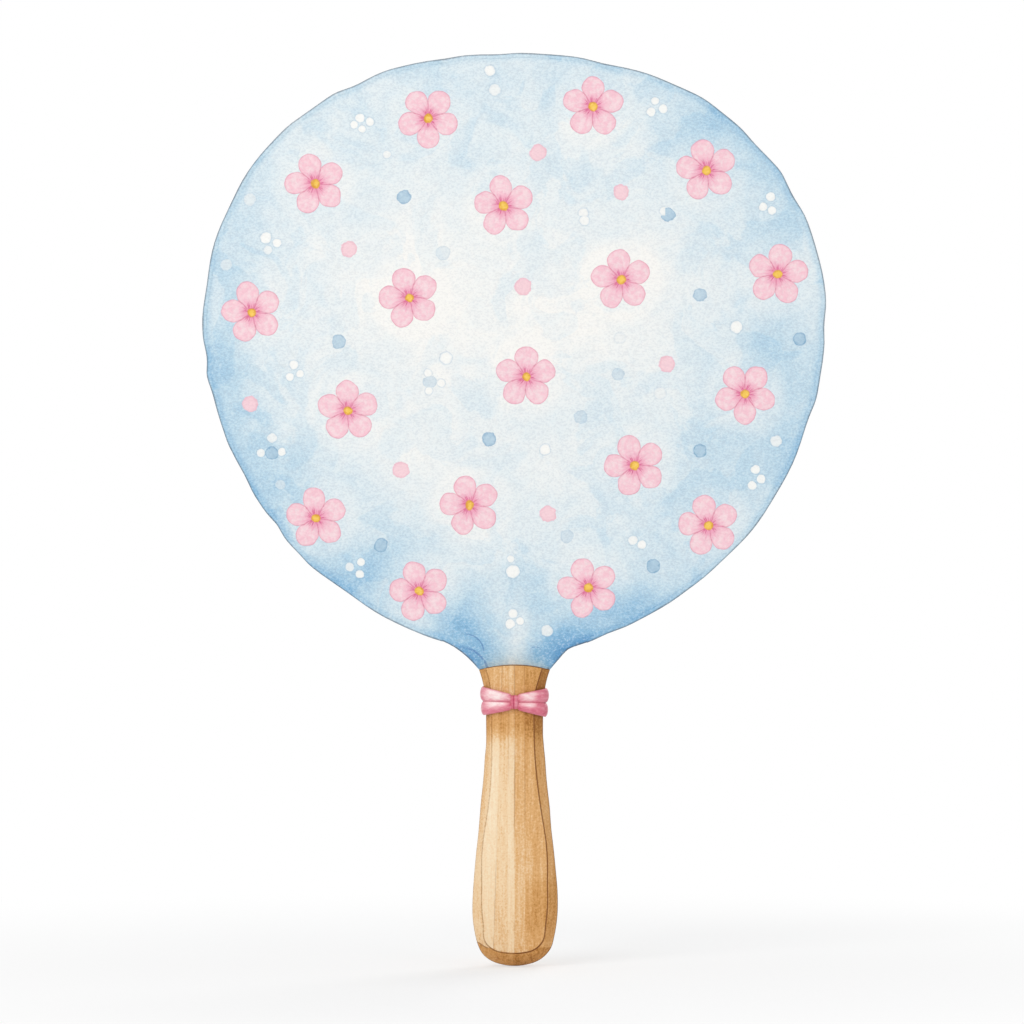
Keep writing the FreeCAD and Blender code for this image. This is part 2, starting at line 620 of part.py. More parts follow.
def ribbon_knot():
    """The band that closes round both turns in front and draws them together."""
    clearance, thickness = size("knot_clearance"), size("knot_thickness")
    back = -DEPTH_HALF - clearance
    front = -LOOP_Y - size("ribbon_outer") - clearance
    reach = size("ribbon_split") / 2 + size("ribbon_pinch") + clearance
    high, low = RIBBON_LEVEL + reach, RIBBON_LEVEL - reach
    runs = [
        [flat(front - thickness, high), flat(front - thickness, low)],
        [flat(front, low - thickness), flat(back, low - thickness), flat(back, low), flat(front, low),
         flat(front, high), flat(back, high), flat(back, high + thickness), flat(front, high + thickness)],
    ]
    outline = [Part.LineSegment(a, b) for run in runs for a, b in zip(run, run[1:])]
    outline += [
        arc_about(flat(front, high), thickness, 90, 180),
        arc_about(flat(front, low), thickness, 180, 270),
    ]
    body = new_body("ribbon_knot")
    sketch = new_sketch(body, "knot_profile", "YZ_Plane", outline)
    band = pad(body, sketch, "knot_band", "sizes.knot_width")
    doc.recompute()

    def is_outer_rim(edge):
        middle = edge.valueAt((edge.FirstParameter + edge.LastParameter) / 2)
        off = math.hypot(max(0.0, front - middle.y), max(0.0, abs(middle.z - RIBBON_LEVEL) - reach))
        return abs(middle.x) > size("knot_width") / 2 - 1e-6 and off > 0.9 * thickness

    rounding = body.newObject("PartDesign::Fillet", "knot_rounding")
    rims = [f"Edge{n}" for n, edge in enumerate(band.Shape.Edges, start=1) if is_outer_rim(edge)]
    rounding.Base = (band, rims)
    rounding.setExpression("Radius", "min(sizes.knot_round; 0.45 * sizes.knot_thickness)")
    return body


pieces = [handle(), *papers(), edge_binding()]
pieces += [rib(number) for number in range(1, RIB_COUNT + 1)]
pieces += [ribbon(), ribbon_knot()]
doc.recompute()

for item in doc.Objects:
    if "Invalid" in item.State or "Error" in item.State:
        raise RuntimeError(f"{item.Label} failed: {item.State}")
for piece in pieces:
    if piece.Shape.isNull() or not piece.Shape.isValid():
        raise RuntimeError(f"{piece.Label} has no valid shape")

os.makedirs("parts", exist_ok=True)
for piece in pieces:
    piece.Shape.exportStep(f"parts/{piece.Label}.step")
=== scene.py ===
import itertools
import json
import math

import bmesh
import bpy
from mathutils import Matrix, Vector, kdtree

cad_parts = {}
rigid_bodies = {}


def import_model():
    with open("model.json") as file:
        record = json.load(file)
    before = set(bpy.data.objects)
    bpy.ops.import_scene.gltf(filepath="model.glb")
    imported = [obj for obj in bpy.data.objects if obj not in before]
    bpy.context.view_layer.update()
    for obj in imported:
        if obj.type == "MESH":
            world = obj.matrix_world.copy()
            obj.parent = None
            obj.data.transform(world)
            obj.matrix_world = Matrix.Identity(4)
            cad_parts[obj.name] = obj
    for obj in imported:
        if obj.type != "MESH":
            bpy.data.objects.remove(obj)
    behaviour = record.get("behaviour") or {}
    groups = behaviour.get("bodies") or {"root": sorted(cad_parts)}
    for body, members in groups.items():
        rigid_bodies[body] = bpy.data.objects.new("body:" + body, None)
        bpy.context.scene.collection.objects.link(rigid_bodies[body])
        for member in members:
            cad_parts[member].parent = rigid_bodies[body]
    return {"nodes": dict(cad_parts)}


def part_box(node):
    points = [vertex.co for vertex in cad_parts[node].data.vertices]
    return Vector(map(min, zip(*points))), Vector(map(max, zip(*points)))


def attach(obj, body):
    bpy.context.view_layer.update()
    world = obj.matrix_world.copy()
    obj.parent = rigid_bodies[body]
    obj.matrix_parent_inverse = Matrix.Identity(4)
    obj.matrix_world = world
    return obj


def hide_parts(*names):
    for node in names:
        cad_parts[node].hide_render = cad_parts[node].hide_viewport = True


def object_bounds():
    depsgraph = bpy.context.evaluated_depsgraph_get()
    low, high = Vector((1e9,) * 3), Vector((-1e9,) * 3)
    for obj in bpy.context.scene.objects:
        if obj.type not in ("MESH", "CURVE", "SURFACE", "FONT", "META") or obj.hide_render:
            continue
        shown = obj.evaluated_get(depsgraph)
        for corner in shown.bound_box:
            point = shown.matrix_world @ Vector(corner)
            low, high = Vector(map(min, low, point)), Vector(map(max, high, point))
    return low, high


for leftover in list(bpy.data.objects):
    bpy.data.objects.remove(leftover)
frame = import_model()
cad_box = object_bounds()


# Ribs: forty-one strips shaved from one length of bamboo. They stand side by side in the handle's
# slot, bend outwards together and fan out between the two sheets, which are pasted to them.

MM = 0.001
FIBRE_RELIEF = 0.05 * MM
RIB_NAMES = sorted(name for name in frame["nodes"] if name.startswith("rib_"))


def paint(red, green, blue):
    """A colour given in picture values from 0 to 255, as the shader's own linear colour."""
    shares = [value / 255 for value in (red, green, blue)]
    return tuple(s / 12.92 if s <= 0.04045 else ((s + 0.055) / 1.055) ** 2.4 for s in shares) + (1.0,)


class Amount:
    """Something that changes over a surface: one socket of a finish. Sums on it add their own nodes."""

    def __init__(self, socket):
        self.socket = socket

    def node(self, kind, settings=None, values=None, output=0):
        """One output of a new node of a kind, with its settings and what goes into it."""
        tree = self.socket.id_data
        made = tree.nodes.new("ShaderNode" + kind)
        for name, value in (settings or {}).items():
            if name == "stops":
                elements = made.color_ramp.elements
                while len(elements) < len(value):
                    elements.new(1.0)
                for element, (place, colour) in zip(elements, value):
                    element.position = place
                    element.color = colour
            else:
                setattr(made, name, value)
        for name, value in (values or {}).items():
            if isinstance(value, Amount):
                tree.links.new(value.socket, made.inputs[name])
            else:
                made.inputs[name].default_value = value
        return Amount(made.outputs[output])

    def math(self, operation, first, second=0.0, third=0.0):
        return self.node("Math", {"operation": operation}, {0: first, 1: second, 2: third})

    def __add__(self, other):
        return self.math("ADD", self, other)

    def __radd__(self, other):
        return self.math("ADD", other, self)

    def __sub__(self, other):
        return self.math("SUBTRACT", self, other)

    def __rsub__(self, other):
        return self.math("SUBTRACT", other, self)

    def __mul__(self, other):
        return self.math("MULTIPLY", self, other)

    def __pow__(self, other):
        return self.math("POWER", self, other)

    def __abs__(self):
        return self.math("ABSOLUTE", self)

    def rise(self, low, high):
        """Nought at low, one at high, and soft between them."""
        values = {"Value": self, "From Min": low, "From Max": high}
        return self.node("MapRange", {"interpolation_type": "SMOOTHSTEP"}, values)

    def cover(self, ground, colour):
        """The colour laid over a ground colour, as densely as this amount says."""
        return self.node("Mix", {"data_type": "RGBA"}, {0: self, 6: ground, 7: colour}, 2)

    def spread(self, scale, detail=3.0, roughness=0.5, distortion=0.0, output=0):
        """Clouded noise on these coordinates, from nought to one."""
        values = {"Vector": self, "Scale": scale, "Detail": detail}
        values.update({"Roughness": roughness, "Distortion": distortion})
        return self.node("TexNoise", None, values, output)

    def ramp(self, stops):
        """The colour that a row of stops gives for this amount."""
        return self.node("ValToRGB", {"stops": stops}, {"Fac": self})

    def length(self):
        """How far these coordinates lie from their middle."""
        return self.node("VectorMath", {"operation": "LENGTH"}, {0: self}, "Value")

    def stretch(self, x, y, z):
        """These coordinates drawn out or packed together along each axis."""
        return self.node("VectorMath", {"operation": "MULTIPLY"}, {0: self, 1: (x, y, z)})

    def shaken(self, scale, amount, by):
        """These flat coordinates pushed about by noise that is spread over others."""
        push = by.spread(scale, 2.0, output=1)
        push = push.node("VectorMath", {"operation": "SUBTRACT"}, {0: push, 1: (0.5, 0.5, 0.5)})
        reach = (amount, amount, 0.0)
        return push.node("VectorMath", {"operation": "MULTIPLY_ADD"}, {0: push, 1: reach, 2: self})

    def part(self, axis):
        """One coordinate of a place, X, Y or Z."""
        return self.node("SeparateXYZ", None, {0: self}, axis)

    def mark(self, name):
        """What the mesh has marked on its corners or faces under a name."""
        return self.node("Attribute", {"attribute_name": name}, output="Fac")


def new_finish(name):
    """A bare material and its surface, which starts the finish's sums."""
    material = bpy.data.materials.new(name)
    material.use_nodes = True
    return material, Amount(material.node_tree.nodes["Principled BSDF"].outputs[0])


def lay(surface, links, constants, height=None, depth=0.0):
    """Puts a finish on its surface: what varies, what is the same all over, and the relief."""
    shader = surface.socket.node
    for name, amount in links.items():
        shader.id_data.links.new(amount.socket, shader.inputs[name])
    for name, value in constants.items():
        shader.inputs[name].default_value = value
    if height is not None:
        relief = surface.node("Bump", None, {"Distance": depth, "Height": height})
        shader.id_data.links.new(relief.socket, shader.inputs["Normal"])


FIBRE_DEEP, FIBRE_PALE = paint(222, 190, 128), paint(244, 226, 178)

bamboo, surface = new_finish("split_bamboo")
place = surface.node("TexCoord", output="Object")
fibres = place.stretch(2600, 2600, 160).spread(1.0, 4.0, 0.6)
colour = fibres.rise(0.25, 0.8).cover(FIBRE_DEEP, FIBRE_PALE)
lay(surface, {"Base Color": colour, "Roughness": 0.45 + fibres * 0.2}, {}, fibres, FIBRE_RELIEF)
for name in RIB_NAMES:
    strip = frame["nodes"][name]
    strip.data.materials.clear()
    strip.data.materials.append(bamboo)


# Front sheet: strong paper with a tooth, washed in pale blue by hand, printed with blossoms and dots,
# cut to the wavy round outline, pasted on the ribs and tucked into the handle's slot.

WELD = 0.001 * MM
GRID_STEP, EDGE_STEP = 2.5 * MM, 0.4 * MM
PAPER_THICKNESS = 0.25 * MM
PAPER_SMOOTH_TO = 40
TOOTH_RELIEF = 0.2 * MM
NECK_LINE = (69.5 * MM, 70.6 * MM)
BLOSSOM_RADIUS = 12.2
# A blossom's own measures are shares of that radius.
PETALS, PETAL_MIDDLE, PETAL_ROUND, PETAL_ROOT = 5, 0.63, 0.375, 0.47
SPARED_FROM, SPARED_TO = 13.0, 23.0
BLOSSOM, PINK_DOT, BLUE_DOT, WHITE_DOT, TIDE_MARK = 1, 2, 3, 4, 5
BLOSSOMS = (
    # across, above the grip, turn of one petal from upright
    (-34.6, 289.2, 36), (31.4, 293.6, 0), (-79.8, 262.8, -15), (76.7, 268.4, -10),
    (-4.3, 254.0, -8), (-42.2, 217.2, -15), (42.6, 224.4, -7), (105.2, 226.6, 8),
    (-105.0, 211.5, -14), (4.6, 185.6, 0), (-66.6, 172.0, -2), (92.2, 179.1, 36),
    (48.1, 150.2, -18), (-17.9, 134.2, -14), (-79.2, 129.2, -7), (77.6, 126.1, -13),
    (-38.0, 100.0, -16), (29.5, 101.2, -18),
)
PINK_DOTS = (
    # across, above the grip, radius
    (9.4, 275.2, 3.4), (42.6, 259.6, 3.3), (-66.2, 236.8, 3.4), (3.4, 221.6, 3.5),
    (61.0, 190.8, 3.4), (-105.8, 174.8, 3.2), (-45.4, 148.4, 3.4), (13.4, 130.8, 3.4),
)
BLUE_DOTS = (
    # across, above the grip, radius, share of ink
    (-44.2, 257.6, 2.9, 0.9), (-70.2, 199.6, 2.9, 0.8), (61.4, 250.4, 2.9, 0.9),
    (74.2, 218.4, 2.8, 0.75), (114.2, 200.8, 2.8, 1.0), (-97.0, 155.2, 2.8, 0.95),
    (-10.2, 160.8, 3.0, 0.92), (-53.4, 118.4, 2.9, 1.0), (74.2, 156.0, 2.8, 1.0),
    (55.4, 110.0, 2.9, 1.0), (-28.6, 235.2, 3.0, 0.28), (-33.8, 183.6, 2.8, 0.48),
    (26.6, 169.6, 2.8, 0.4), (41.4, 186.8, 2.6, 0.42), (21.0, 122.0, 2.8, 0.36),
)
WHITE_DOTS = (
    # across, above the grip, radius, share of ink
    (-9.8, 308.2, 2.2, 1.0), (-7.9, 300.4, 2.4, 0.8), (-61.8, 289.2, 1.9, 1.0),
    (-57.8, 287.6, 1.7, 1.0), (-64.2, 286.4, 1.6, 1.0), (-61.0, 284.8, 1.5, 1.0),
    (-51.0, 274.6, 1.6, 0.8), (-99.4, 241.2, 2.3, 1.0), (-95.0, 239.2, 1.8, 1.0),
    (-98.6, 236.4, 1.8, 0.7), (56.2, 296.0, 1.7, 1.0), (59.4, 292.8, 1.8, 1.0),
    (54.6, 291.6, 1.8, 1.0), (102.4, 257.6, 1.8, 1.0), (99.4, 253.6, 1.7, 1.0),
    (103.0, 252.2, 1.7, 1.0), (27.6, 251.2, 2.0, 0.9), (28.0, 248.2, 2.0, 0.9),
    (59.7, 252.0, 1.7, 0.8), (88.6, 205.6, 2.5, 1.0), (-88.2, 190.4, 1.8, 1.0), (-85.8, 186.8, 1.6, 1.0),
    (-89.8, 185.6, 1.6, 1.0), (-27.4, 193.2, 2.4, 1.0), (-34.6, 187.2, 1.6, 1.0),
    (-29.4, 183.2, 1.6, 1.0), (-34.2, 180.0, 1.6, 1.0), (-97.0, 161.2, 2.0, 0.8),
    (-101.4, 155.2, 1.7, 0.9), (-93.0, 155.6, 1.6, 1.0), (-61.4, 111.6, 1.7, 1.0),
    (-65.8, 109.6, 1.8, 0.8), (-61.8, 106.8, 1.7, 1.0), (-1.6, 112.8, 1.5, 0.9),
    (-0.6, 107.8, 2.7, 1.0), (-0.6, 91.0, 1.9, 1.0), (-1.8, 86.8, 2.0, 1.0), (2.2, 88.0, 1.6, 1.0),
    (13.0, 84.2, 2.3, 0.8), (104.6, 160.0, 2.3, 0.8), (96.4, 148.6, 1.9, 1.0),
    (98.6, 144.8, 1.8, 1.0), (95.0, 142.2, 1.8, 1.0), (47.4, 120.2, 1.9, 0.9),
    (51.0, 118.4, 1.8, 1.0), (12.2, 156.6, 2.1, 1.0), (-105.8, 256.4, 2.5, 0.5),
    (-115.2, 230.4, 2.4, 0.5), (-93.6, 142.6, 2.0, 0.4), (58.2, 179.2, 2.4, 0.5),
    (42.2, 201.2, 2.2, 0.5),
)
TIDE_MARKS = (
    # centre of the arc across and above the grip, its radius, turn of its middle from upright
    (-19.4, 75.6, 7.2, 45), (-22.3, 65.9, 12.0, 46), (8.4, 74.4, 3.2, 0),
)
PETAL_PALE, PETAL_PINK, PETAL_RIM = paint(251, 222, 227), paint(249, 201, 213), paint(246, 186, 204)
PETAL_FLUSH, PETAL_STROKE = paint(241, 152, 184), paint(220, 86, 140)
PETAL_SEAM, PETAL_OUTLINE = paint(226, 132, 162), paint(222, 130, 156)
EYE_YELLOW, EYE_OCHRE = paint(250, 206, 92), paint(226, 160, 58)
PINK_INK, PINK_INK_RIM = paint(250, 211, 219), paint(242, 190, 203)
BLUE_INK, BLUE_INK_RIM = paint(178, 207, 226), paint(130, 173, 204)
WHITE_INK, WHITE_INK_RIM, WHITE_DOT_HALO = paint(253, 253, 249), paint(243, 246, 246), paint(148, 178, 204)
TIDE_BLUE = paint(78, 126, 184)
TOOTH_BLUE, TOOTH_SHADE_GREY, TOOTH_WHITE = paint(112, 138, 172), paint(120, 116, 134), paint(254, 254, 251)
CUT_EDGE_GREY = paint(88, 98, 112)
WASH_STOPS = (
    (0.0, paint(251, 250, 246)), (0.28, paint(226, 238, 243)), (0.48, paint(195, 222, 237)),
    (0.73, paint(149, 196, 227)), (1.0, paint(98, 161, 209)),
)
BARE_PAPER_TINT = 0.29
CLOUD_DEPTH, DRIFT_DEPTH, POOL_DEPTH, POOL_LINE_DEPTH = 0.31, 0.26, 0.09, 0.07
RIM_DEPTH, SPARED_DEPTH, PIGMENT_DEPTH = 0.14, 0.07, 0.08
WASHES = (
    # across, above the grip, half width, half height, depth of blue
    (-20, 78, 11, 14, 0.50), (22, 78, 14, 12, 0.50), (42, 92, 24, 10, 0.40), (0, 80, 30, 12, 0.08),
    (1, 80, 4, 14, -0.20), (-66, 102, 24, 16, 0.28), (-98, 132, 26, 28, 0.26), (-118, 180, 18, 46, 0.24),
    (0, 98, 26, 16, 0.10), (80, 104, 30, 18, 0.10), (80, 138, 32, 26, 0.13), (118, 176, 16, 50, 0.22),
    (100, 250, 18, 26, 0.10), (82, 286, 22, 20, 0.28), (-38, 204, 34, 34, -0.20), (20, 206, 36, 34, -0.20),
    (-28, 122, 26, 24, -0.12), (45, 232, 30, 24, -0.10), (-35, 240, 26, 22, -0.12), (-106, 252, 12, 18, 0.15),
    (106, 264, 10, 12, 0.12), (-68, 234, 20, 18, -0.17), (56, 206, 12, 34, -0.09), (-42, 160, 24, 14, -0.15),
    (12, 148, 16, 14, -0.12), (84, 160, 16, 12, 0.09), (-44, 118, 16, 14, 0.14), (-10, 106, 14, 8, 0.10),
    (24, 93, 10, 8, -0.14), (62, 120, 12, 14, 0.09), (28, 184, 18, 14, 0.08), (30, 282, 24, 9, -0.09),
    (16, 306, 34, 9, 0.12), (118, 206, 8, 14, -0.08), (-78, 188, 16, 14, -0.08), (-24, 98, 12, 12, 0.10),
    (8, 73, 9, 5, 0.22), (-11, 73, 7, 5, 0.18), (10, 86, 9, 5, -0.14), (-5, 90, 6, 6, -0.14),
    (-19, 92, 6, 5, 0.08), (100, 192, 12, 26, 0.10), (-56, 194, 10, 12, 0.09), (-88, 236, 9, 9, 0.09),
    (-112, 226, 8, 16, 0.05), (-21.5, 80, 4, 2.5, -0.2), (-26, 300, 10, 11, 0.10), (57, 285, 8, 8, 0.09),
    (-56, 290, 10, 9, 0.06), (40, 246, 8, 7, 0.07), (56, 213, 8, 7, 0.07), (88, 164, 8, 8, 0.05),
)


def wash_depth(place):
    """How much blue the washes leave at a place of the blade."""
    depth = BARE_PAPER_TINT
    for across, above, wide, tall, blue in WASHES:
        off = ((place.x / MM - across) / wide) ** 2 + ((place.z / MM - above) / tall) ** 2
        depth += blue * math.exp(-off)
    return depth


def outer_face(name, way):
    """One flat face with the outline of a sheet: the side of its solid that looks outwards."""
    sheet = bmesh.new()
    sheet.from_mesh(frame["nodes"][name].data)
    bmesh.ops.remove_doubles(sheet, verts=sheet.verts, dist=WELD)
    others = [face for face in sheet.faces if face.normal.y * way < 0.9]
    bmesh.ops.delete(sheet, geom=others, context="FACES")
    bmesh.ops.dissolve_faces(sheet, faces=sheet.faces[:])
    return sheet


def score(sheet, place, across, faces=None):
    """Divides faces along the line through a place, square to the way across, and gives its corners."""
    faces = sheet.faces[:] if faces is None else faces
    edges = {edge for face in faces for edge in face.edges}
    corners = {corner for face in faces for corner in face.verts}
    made = bmesh.ops.bisect_plane(
        sheet, geom=[*corners, *edges, *faces], dist=0.0001 * MM, plane_co=place, plane_no=across
    )
    return [part for part in made["geom_cut"] if isinstance(part, bmesh.types.BMVert)]


def score_grid(sheet, step):
    """Divides a sheet into squares."""
    low = [min(corner.co[axis] for corner in sheet.verts) for axis in range(3)]
    high = [max(corner.co[axis] for corner in sheet.verts) for axis in range(3)]
    for axis, across in ((2, Vector((0, 0, 1))), (0, Vector((1, 0, 0)))):
        for count in range(1, math.ceil((high[axis] - low[axis]) / step)):
            score(sheet, across * (low[axis] + count * step), across)


def edge_finder(sheet):
    """A search for the place of a sheet's cut edge that is nearest to another place of the blade."""
    rim = []
    for edge in sheet.edges:
        if edge.is_boundary:
            first, second = (corner.co for corner in edge.verts)
            pieces = max(1, math.ceil((second - first).length / EDGE_STEP))
            rim += [first.lerp(second, share / pieces) for share in range(pieces)]
    near = kdtree.KDTree(len(rim))
    for number, point in enumerate(rim):
        near.insert((point.x, 0.0, point.z), number)
    near.balance()
    return near


def edge_distance(cut_edge, place):
    """How far a place of the blade lies from the cut edge."""
    return cut_edge.find((place.x, 0.0, place.z))[2]


def soak(sheet, cut_edge):
    """Writes on each corner of a sheet how blue the washes are there, and how far off the cut edge is."""
    blue = sheet.verts.layers.float.new("wash")
    edge_gap = sheet.verts.layers.float.new("edge_gap")
    for corner in sheet.verts:
        corner[blue] = wash_depth(corner.co)
        corner[edge_gap] = edge_distance(cut_edge, corner.co) / MM


def clamp(share):
    """A share kept between nought and one."""
    return min(1.0, max(0.0, share))


def spare(sheet):
    """Marks where the brush kept clear of a blossom: one beside the petals, nought well away from them."""
    spared = sheet.verts.layers.float.new("spared")
    for corner in sheet.verts:
        x, z = corner.co.x / MM, corner.co.z / MM
        gap = min(math.hypot(x - across, z - above) for across, above, turn in BLOSSOMS)
        corner[spared] = clamp((SPARED_TO - gap) / (SPARED_TO - SPARED_FROM))


def new_piece(name, mesh, material, slot, *nodes):
    """A finished mesh as a piece of the fan that stands for the named nodes."""
    data = bpy.data.meshes.new(name)
    mesh.to_mesh(data)
    mesh.free()
    data.materials.append(material)
    piece = bpy.data.objects.new(name, data)
    bpy.context.scene.collection.objects.link(piece)
    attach(piece, "root")
    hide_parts(*nodes)
    return piece


def motif_list():
    """Every printed motif and every tide mark: kind, place on the sheet, radius, turn and share of ink."""
    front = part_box("front_paper")[0].y
    motifs = []
    for across, above, turn in BLOSSOMS:
        motifs.append((BLOSSOM, across, above, BLOSSOM_RADIUS, turn, 1.0))
    for across, above, radius in PINK_DOTS:
        motifs.append((PINK_DOT, across, above, radius, 0, 1.0))
    for across, above, radius, ink in BLUE_DOTS:
        motifs.append((BLUE_DOT, across, above, radius, 0, ink))
    for across, above, radius, ink in WHITE_DOTS:
        motifs.append((WHITE_DOT, across, above, radius, 0, ink))
    for across, above, radius, turn in TIDE_MARKS:
        motifs.append((TIDE_MARK, across, above, radius, turn, 1.0))
    placed = [
        (kind, Vector((across * MM, front, above * MM)), radius * MM, math.radians(turn), ink)
        for kind, across, above, radius, turn, ink in motifs
    ]
    prints = [motif for motif in placed if motif[0] != TIDE_MARK]
    return prints, [motif for motif in placed if motif[0] == TIDE_MARK]


def lay_out_print(sheet):
    """Gives the faces round each motif its kind and coordinates in which its radius is one."""
    prints, tide_marks = motif_list()
    room = 1.2 * GRID_STEP
    for first, second in itertools.combinations(prints, 2):
        line = second[1] - first[1]
        gap = line.length - first[2] - second[2]
        if gap < 2 * room:
            split = first[1] + line.normalized() * (line.length - second[2] - max(0.0, gap / 2))
            reach = min(first[2], second[2]) + 2 * room
            close = [face for face in sheet.faces if (face.calc_center_median() - split).length < reach]
            score(sheet, split, line.normalized(), close)
    kind_of = sheet.faces.layers.float.new("motif")
    ink_of = sheet.faces.layers.float.new("ink")
    print_map = sheet.loops.layers.uv.new("print")

    def past(motif, place):
        """How far a place lies outside a motif."""
        return (motif[1] - place).length - motif[2]

    for face in sheet.faces:
        centre = face.calc_center_median()
        found = min(prints, key=lambda motif: past(motif, centre))
        if past(found, centre) > room:
            found = min(tide_marks, key=lambda mark: abs(past(mark, centre)))
            if abs(past(found, centre)) > room:
                continue
        kind, place, radius, turn, ink = found
        face[kind_of] = kind
        face[ink_of] = ink
        upright = Matrix.Rotation(turn, 2)
        for loop in face.loops:
            off = loop.vert.co - place
            loop[print_map].uv = upright @ Vector((off.x, off.z)) / radius


def paint_blossoms(ground, spot, place):
    """Five round petals in thin pink, deeper in the middle, with fine streaks round a yellow eye."""
    spot = spot.shaken(150, 0.14, place)
    across, up = spot.part("X"), spot.part("Y")
    radius = spot.length()
    bearing = spot.math("ARCTAN2", across, up) * (PETALS / math.tau)
    lean = (bearing - bearing.math("ROUND", bearing)) * (math.tau / PETALS)
    along = radius * lean.math("COSINE", lean)
    aside = radius * lean.math("SINE", lean)
    tip = ((along - PETAL_MIDDLE) ** 2 + aside ** 2) ** 0.5
    inside = tip.math("MAXIMUM", PETAL_ROUND - tip, PETAL_ROOT - radius)
    petals = inside.rise(-0.012, 0.012)
    dabs = place.spread(520, 3.0, 0.6)
    outline = inside.rise(0.04, 0.01) * (0.2 + dabs * 0.7)
    seam_lean = math.pi / PETALS - abs(lean)
    seam_gap = radius * seam_lean.math("SINE", seam_lean)
    seam = seam_gap.rise(0.03, 0.006) * radius.rise(0.58, 0.46) * (0.4 + dabs * 0.6)
    across_petal = bearing.node("CombineXYZ", None, {0: bearing * 9, 1: radius * 1.6})
    streaks = across_petal.spread(1.0, 3.0, 0.6)
    flush = (radius + (streaks - 0.5) * 0.8 + (dabs - 0.5) * 0.2).rise(0.54, 0.1)
    strokes = (streaks - radius * 0.3).rise(0.42, 0.5) * radius.rise(0.47, 0.22)
    petal = dabs.rise(0.32, 0.66).cover(PETAL_PALE, PETAL_PINK)
    petal = (inside.rise(0.14, 0.02) * 0.3).cover(petal, PETAL_RIM)
    petal = (flush * 0.8).cover(petal, PETAL_FLUSH)
    petal = (strokes * 0.85).cover(petal, PETAL_STROKE)
    petal = seam.cover(petal, PETAL_SEAM)
    petal = outline.cover(petal, PETAL_OUTLINE)
    eye_radius = radius + (streaks - 0.5) * 0.07
    eye_radius = eye_radius + (dabs - 0.5) * 0.06
    eye = eye_radius.rise(0.165, 0.135)
    eye_edge = (eye_radius + (dabs - 0.5) * 0.2).rise(0.06, 0.16)
    eye_colour = eye_edge.cover(EYE_YELLOW, EYE_OCHRE)
    return petals.cover(ground, eye.cover(petal, eye_colour))


def paint_dots(ground, spot, place, kind, ink):
    """Pink, blue and white dots, set down with the tip of a brush, so that none is quite round."""
    spot = spot.shaken(430, 0.55, place)
    radius = spot.length()
    dabs = place.spread(700, 2.0, 0.6)
    dot = radius.rise(1.02, 0.92) * ink
    rim = (radius + (dabs - 0.5) * 0.3).rise(0.66, 0.97)
    pink = rim.cover(PINK_INK, PINK_INK_RIM)
    blue = (rim * 0.8 + dabs.rise(0.4, 0.7) * 0.3).cover(BLUE_INK, BLUE_INK_RIM)
    white = rim.cover(WHITE_INK, WHITE_INK_RIM)
    is_white = kind.math("COMPARE", kind, WHITE_DOT, 0.1)
    colour = (radius.rise(1.3, 0.98) * ink * 0.32 * is_white).cover(ground, WHITE_DOT_HALO)
    for number, dye in ((PINK_DOT, pink), (BLUE_DOT, blue), (WHITE_DOT, white)):
        colour = (dot * kind.math("COMPARE", kind, number, 0.1) * 0.94).cover(colour, dye)
    return colour


def paint_tide_marks(ground, spot, place):
    """Thin arcs of darker blue where the rim of a wet wash dried."""
    spot = spot.shaken(60, 0.09, place)
    radius = spot.length()
    lean = abs(spot.math("ARCTAN2", spot.part("X"), spot.part("Y")))
    broken = place.spread(150, 3.0, 0.6)
    line = abs(radius - 1).rise(0.06, 0.01) * lean.rise(0.95, 0.5) * broken.rise(0.25, 0.5)
    return (line * 0.7).cover(ground, TIDE_BLUE)


def printed(surface, ground, place):
    """Everything that is painted over the washes."""
    kind, ink = surface.mark("motif"), surface.mark("ink")
    spot = surface.node("UVMap", {"uv_map": "print"})
    blossoms = paint_blossoms(ground, spot, place)
    dots = paint_dots(ground, spot, place, kind, ink)
    tide_marks = paint_tide_marks(ground, spot, place)
    colour = kind.rise(PINK_DOT - 0.6, PINK_DOT - 0.4).cover(blossoms, dots)
    colour = kind.rise(TIDE_MARK - 0.6, TIDE_MARK - 0.4).cover(colour, tide_marks)
    return kind.rise(BLOSSOM - 0.6, BLOSSOM - 0.4).cover(ground, colour)


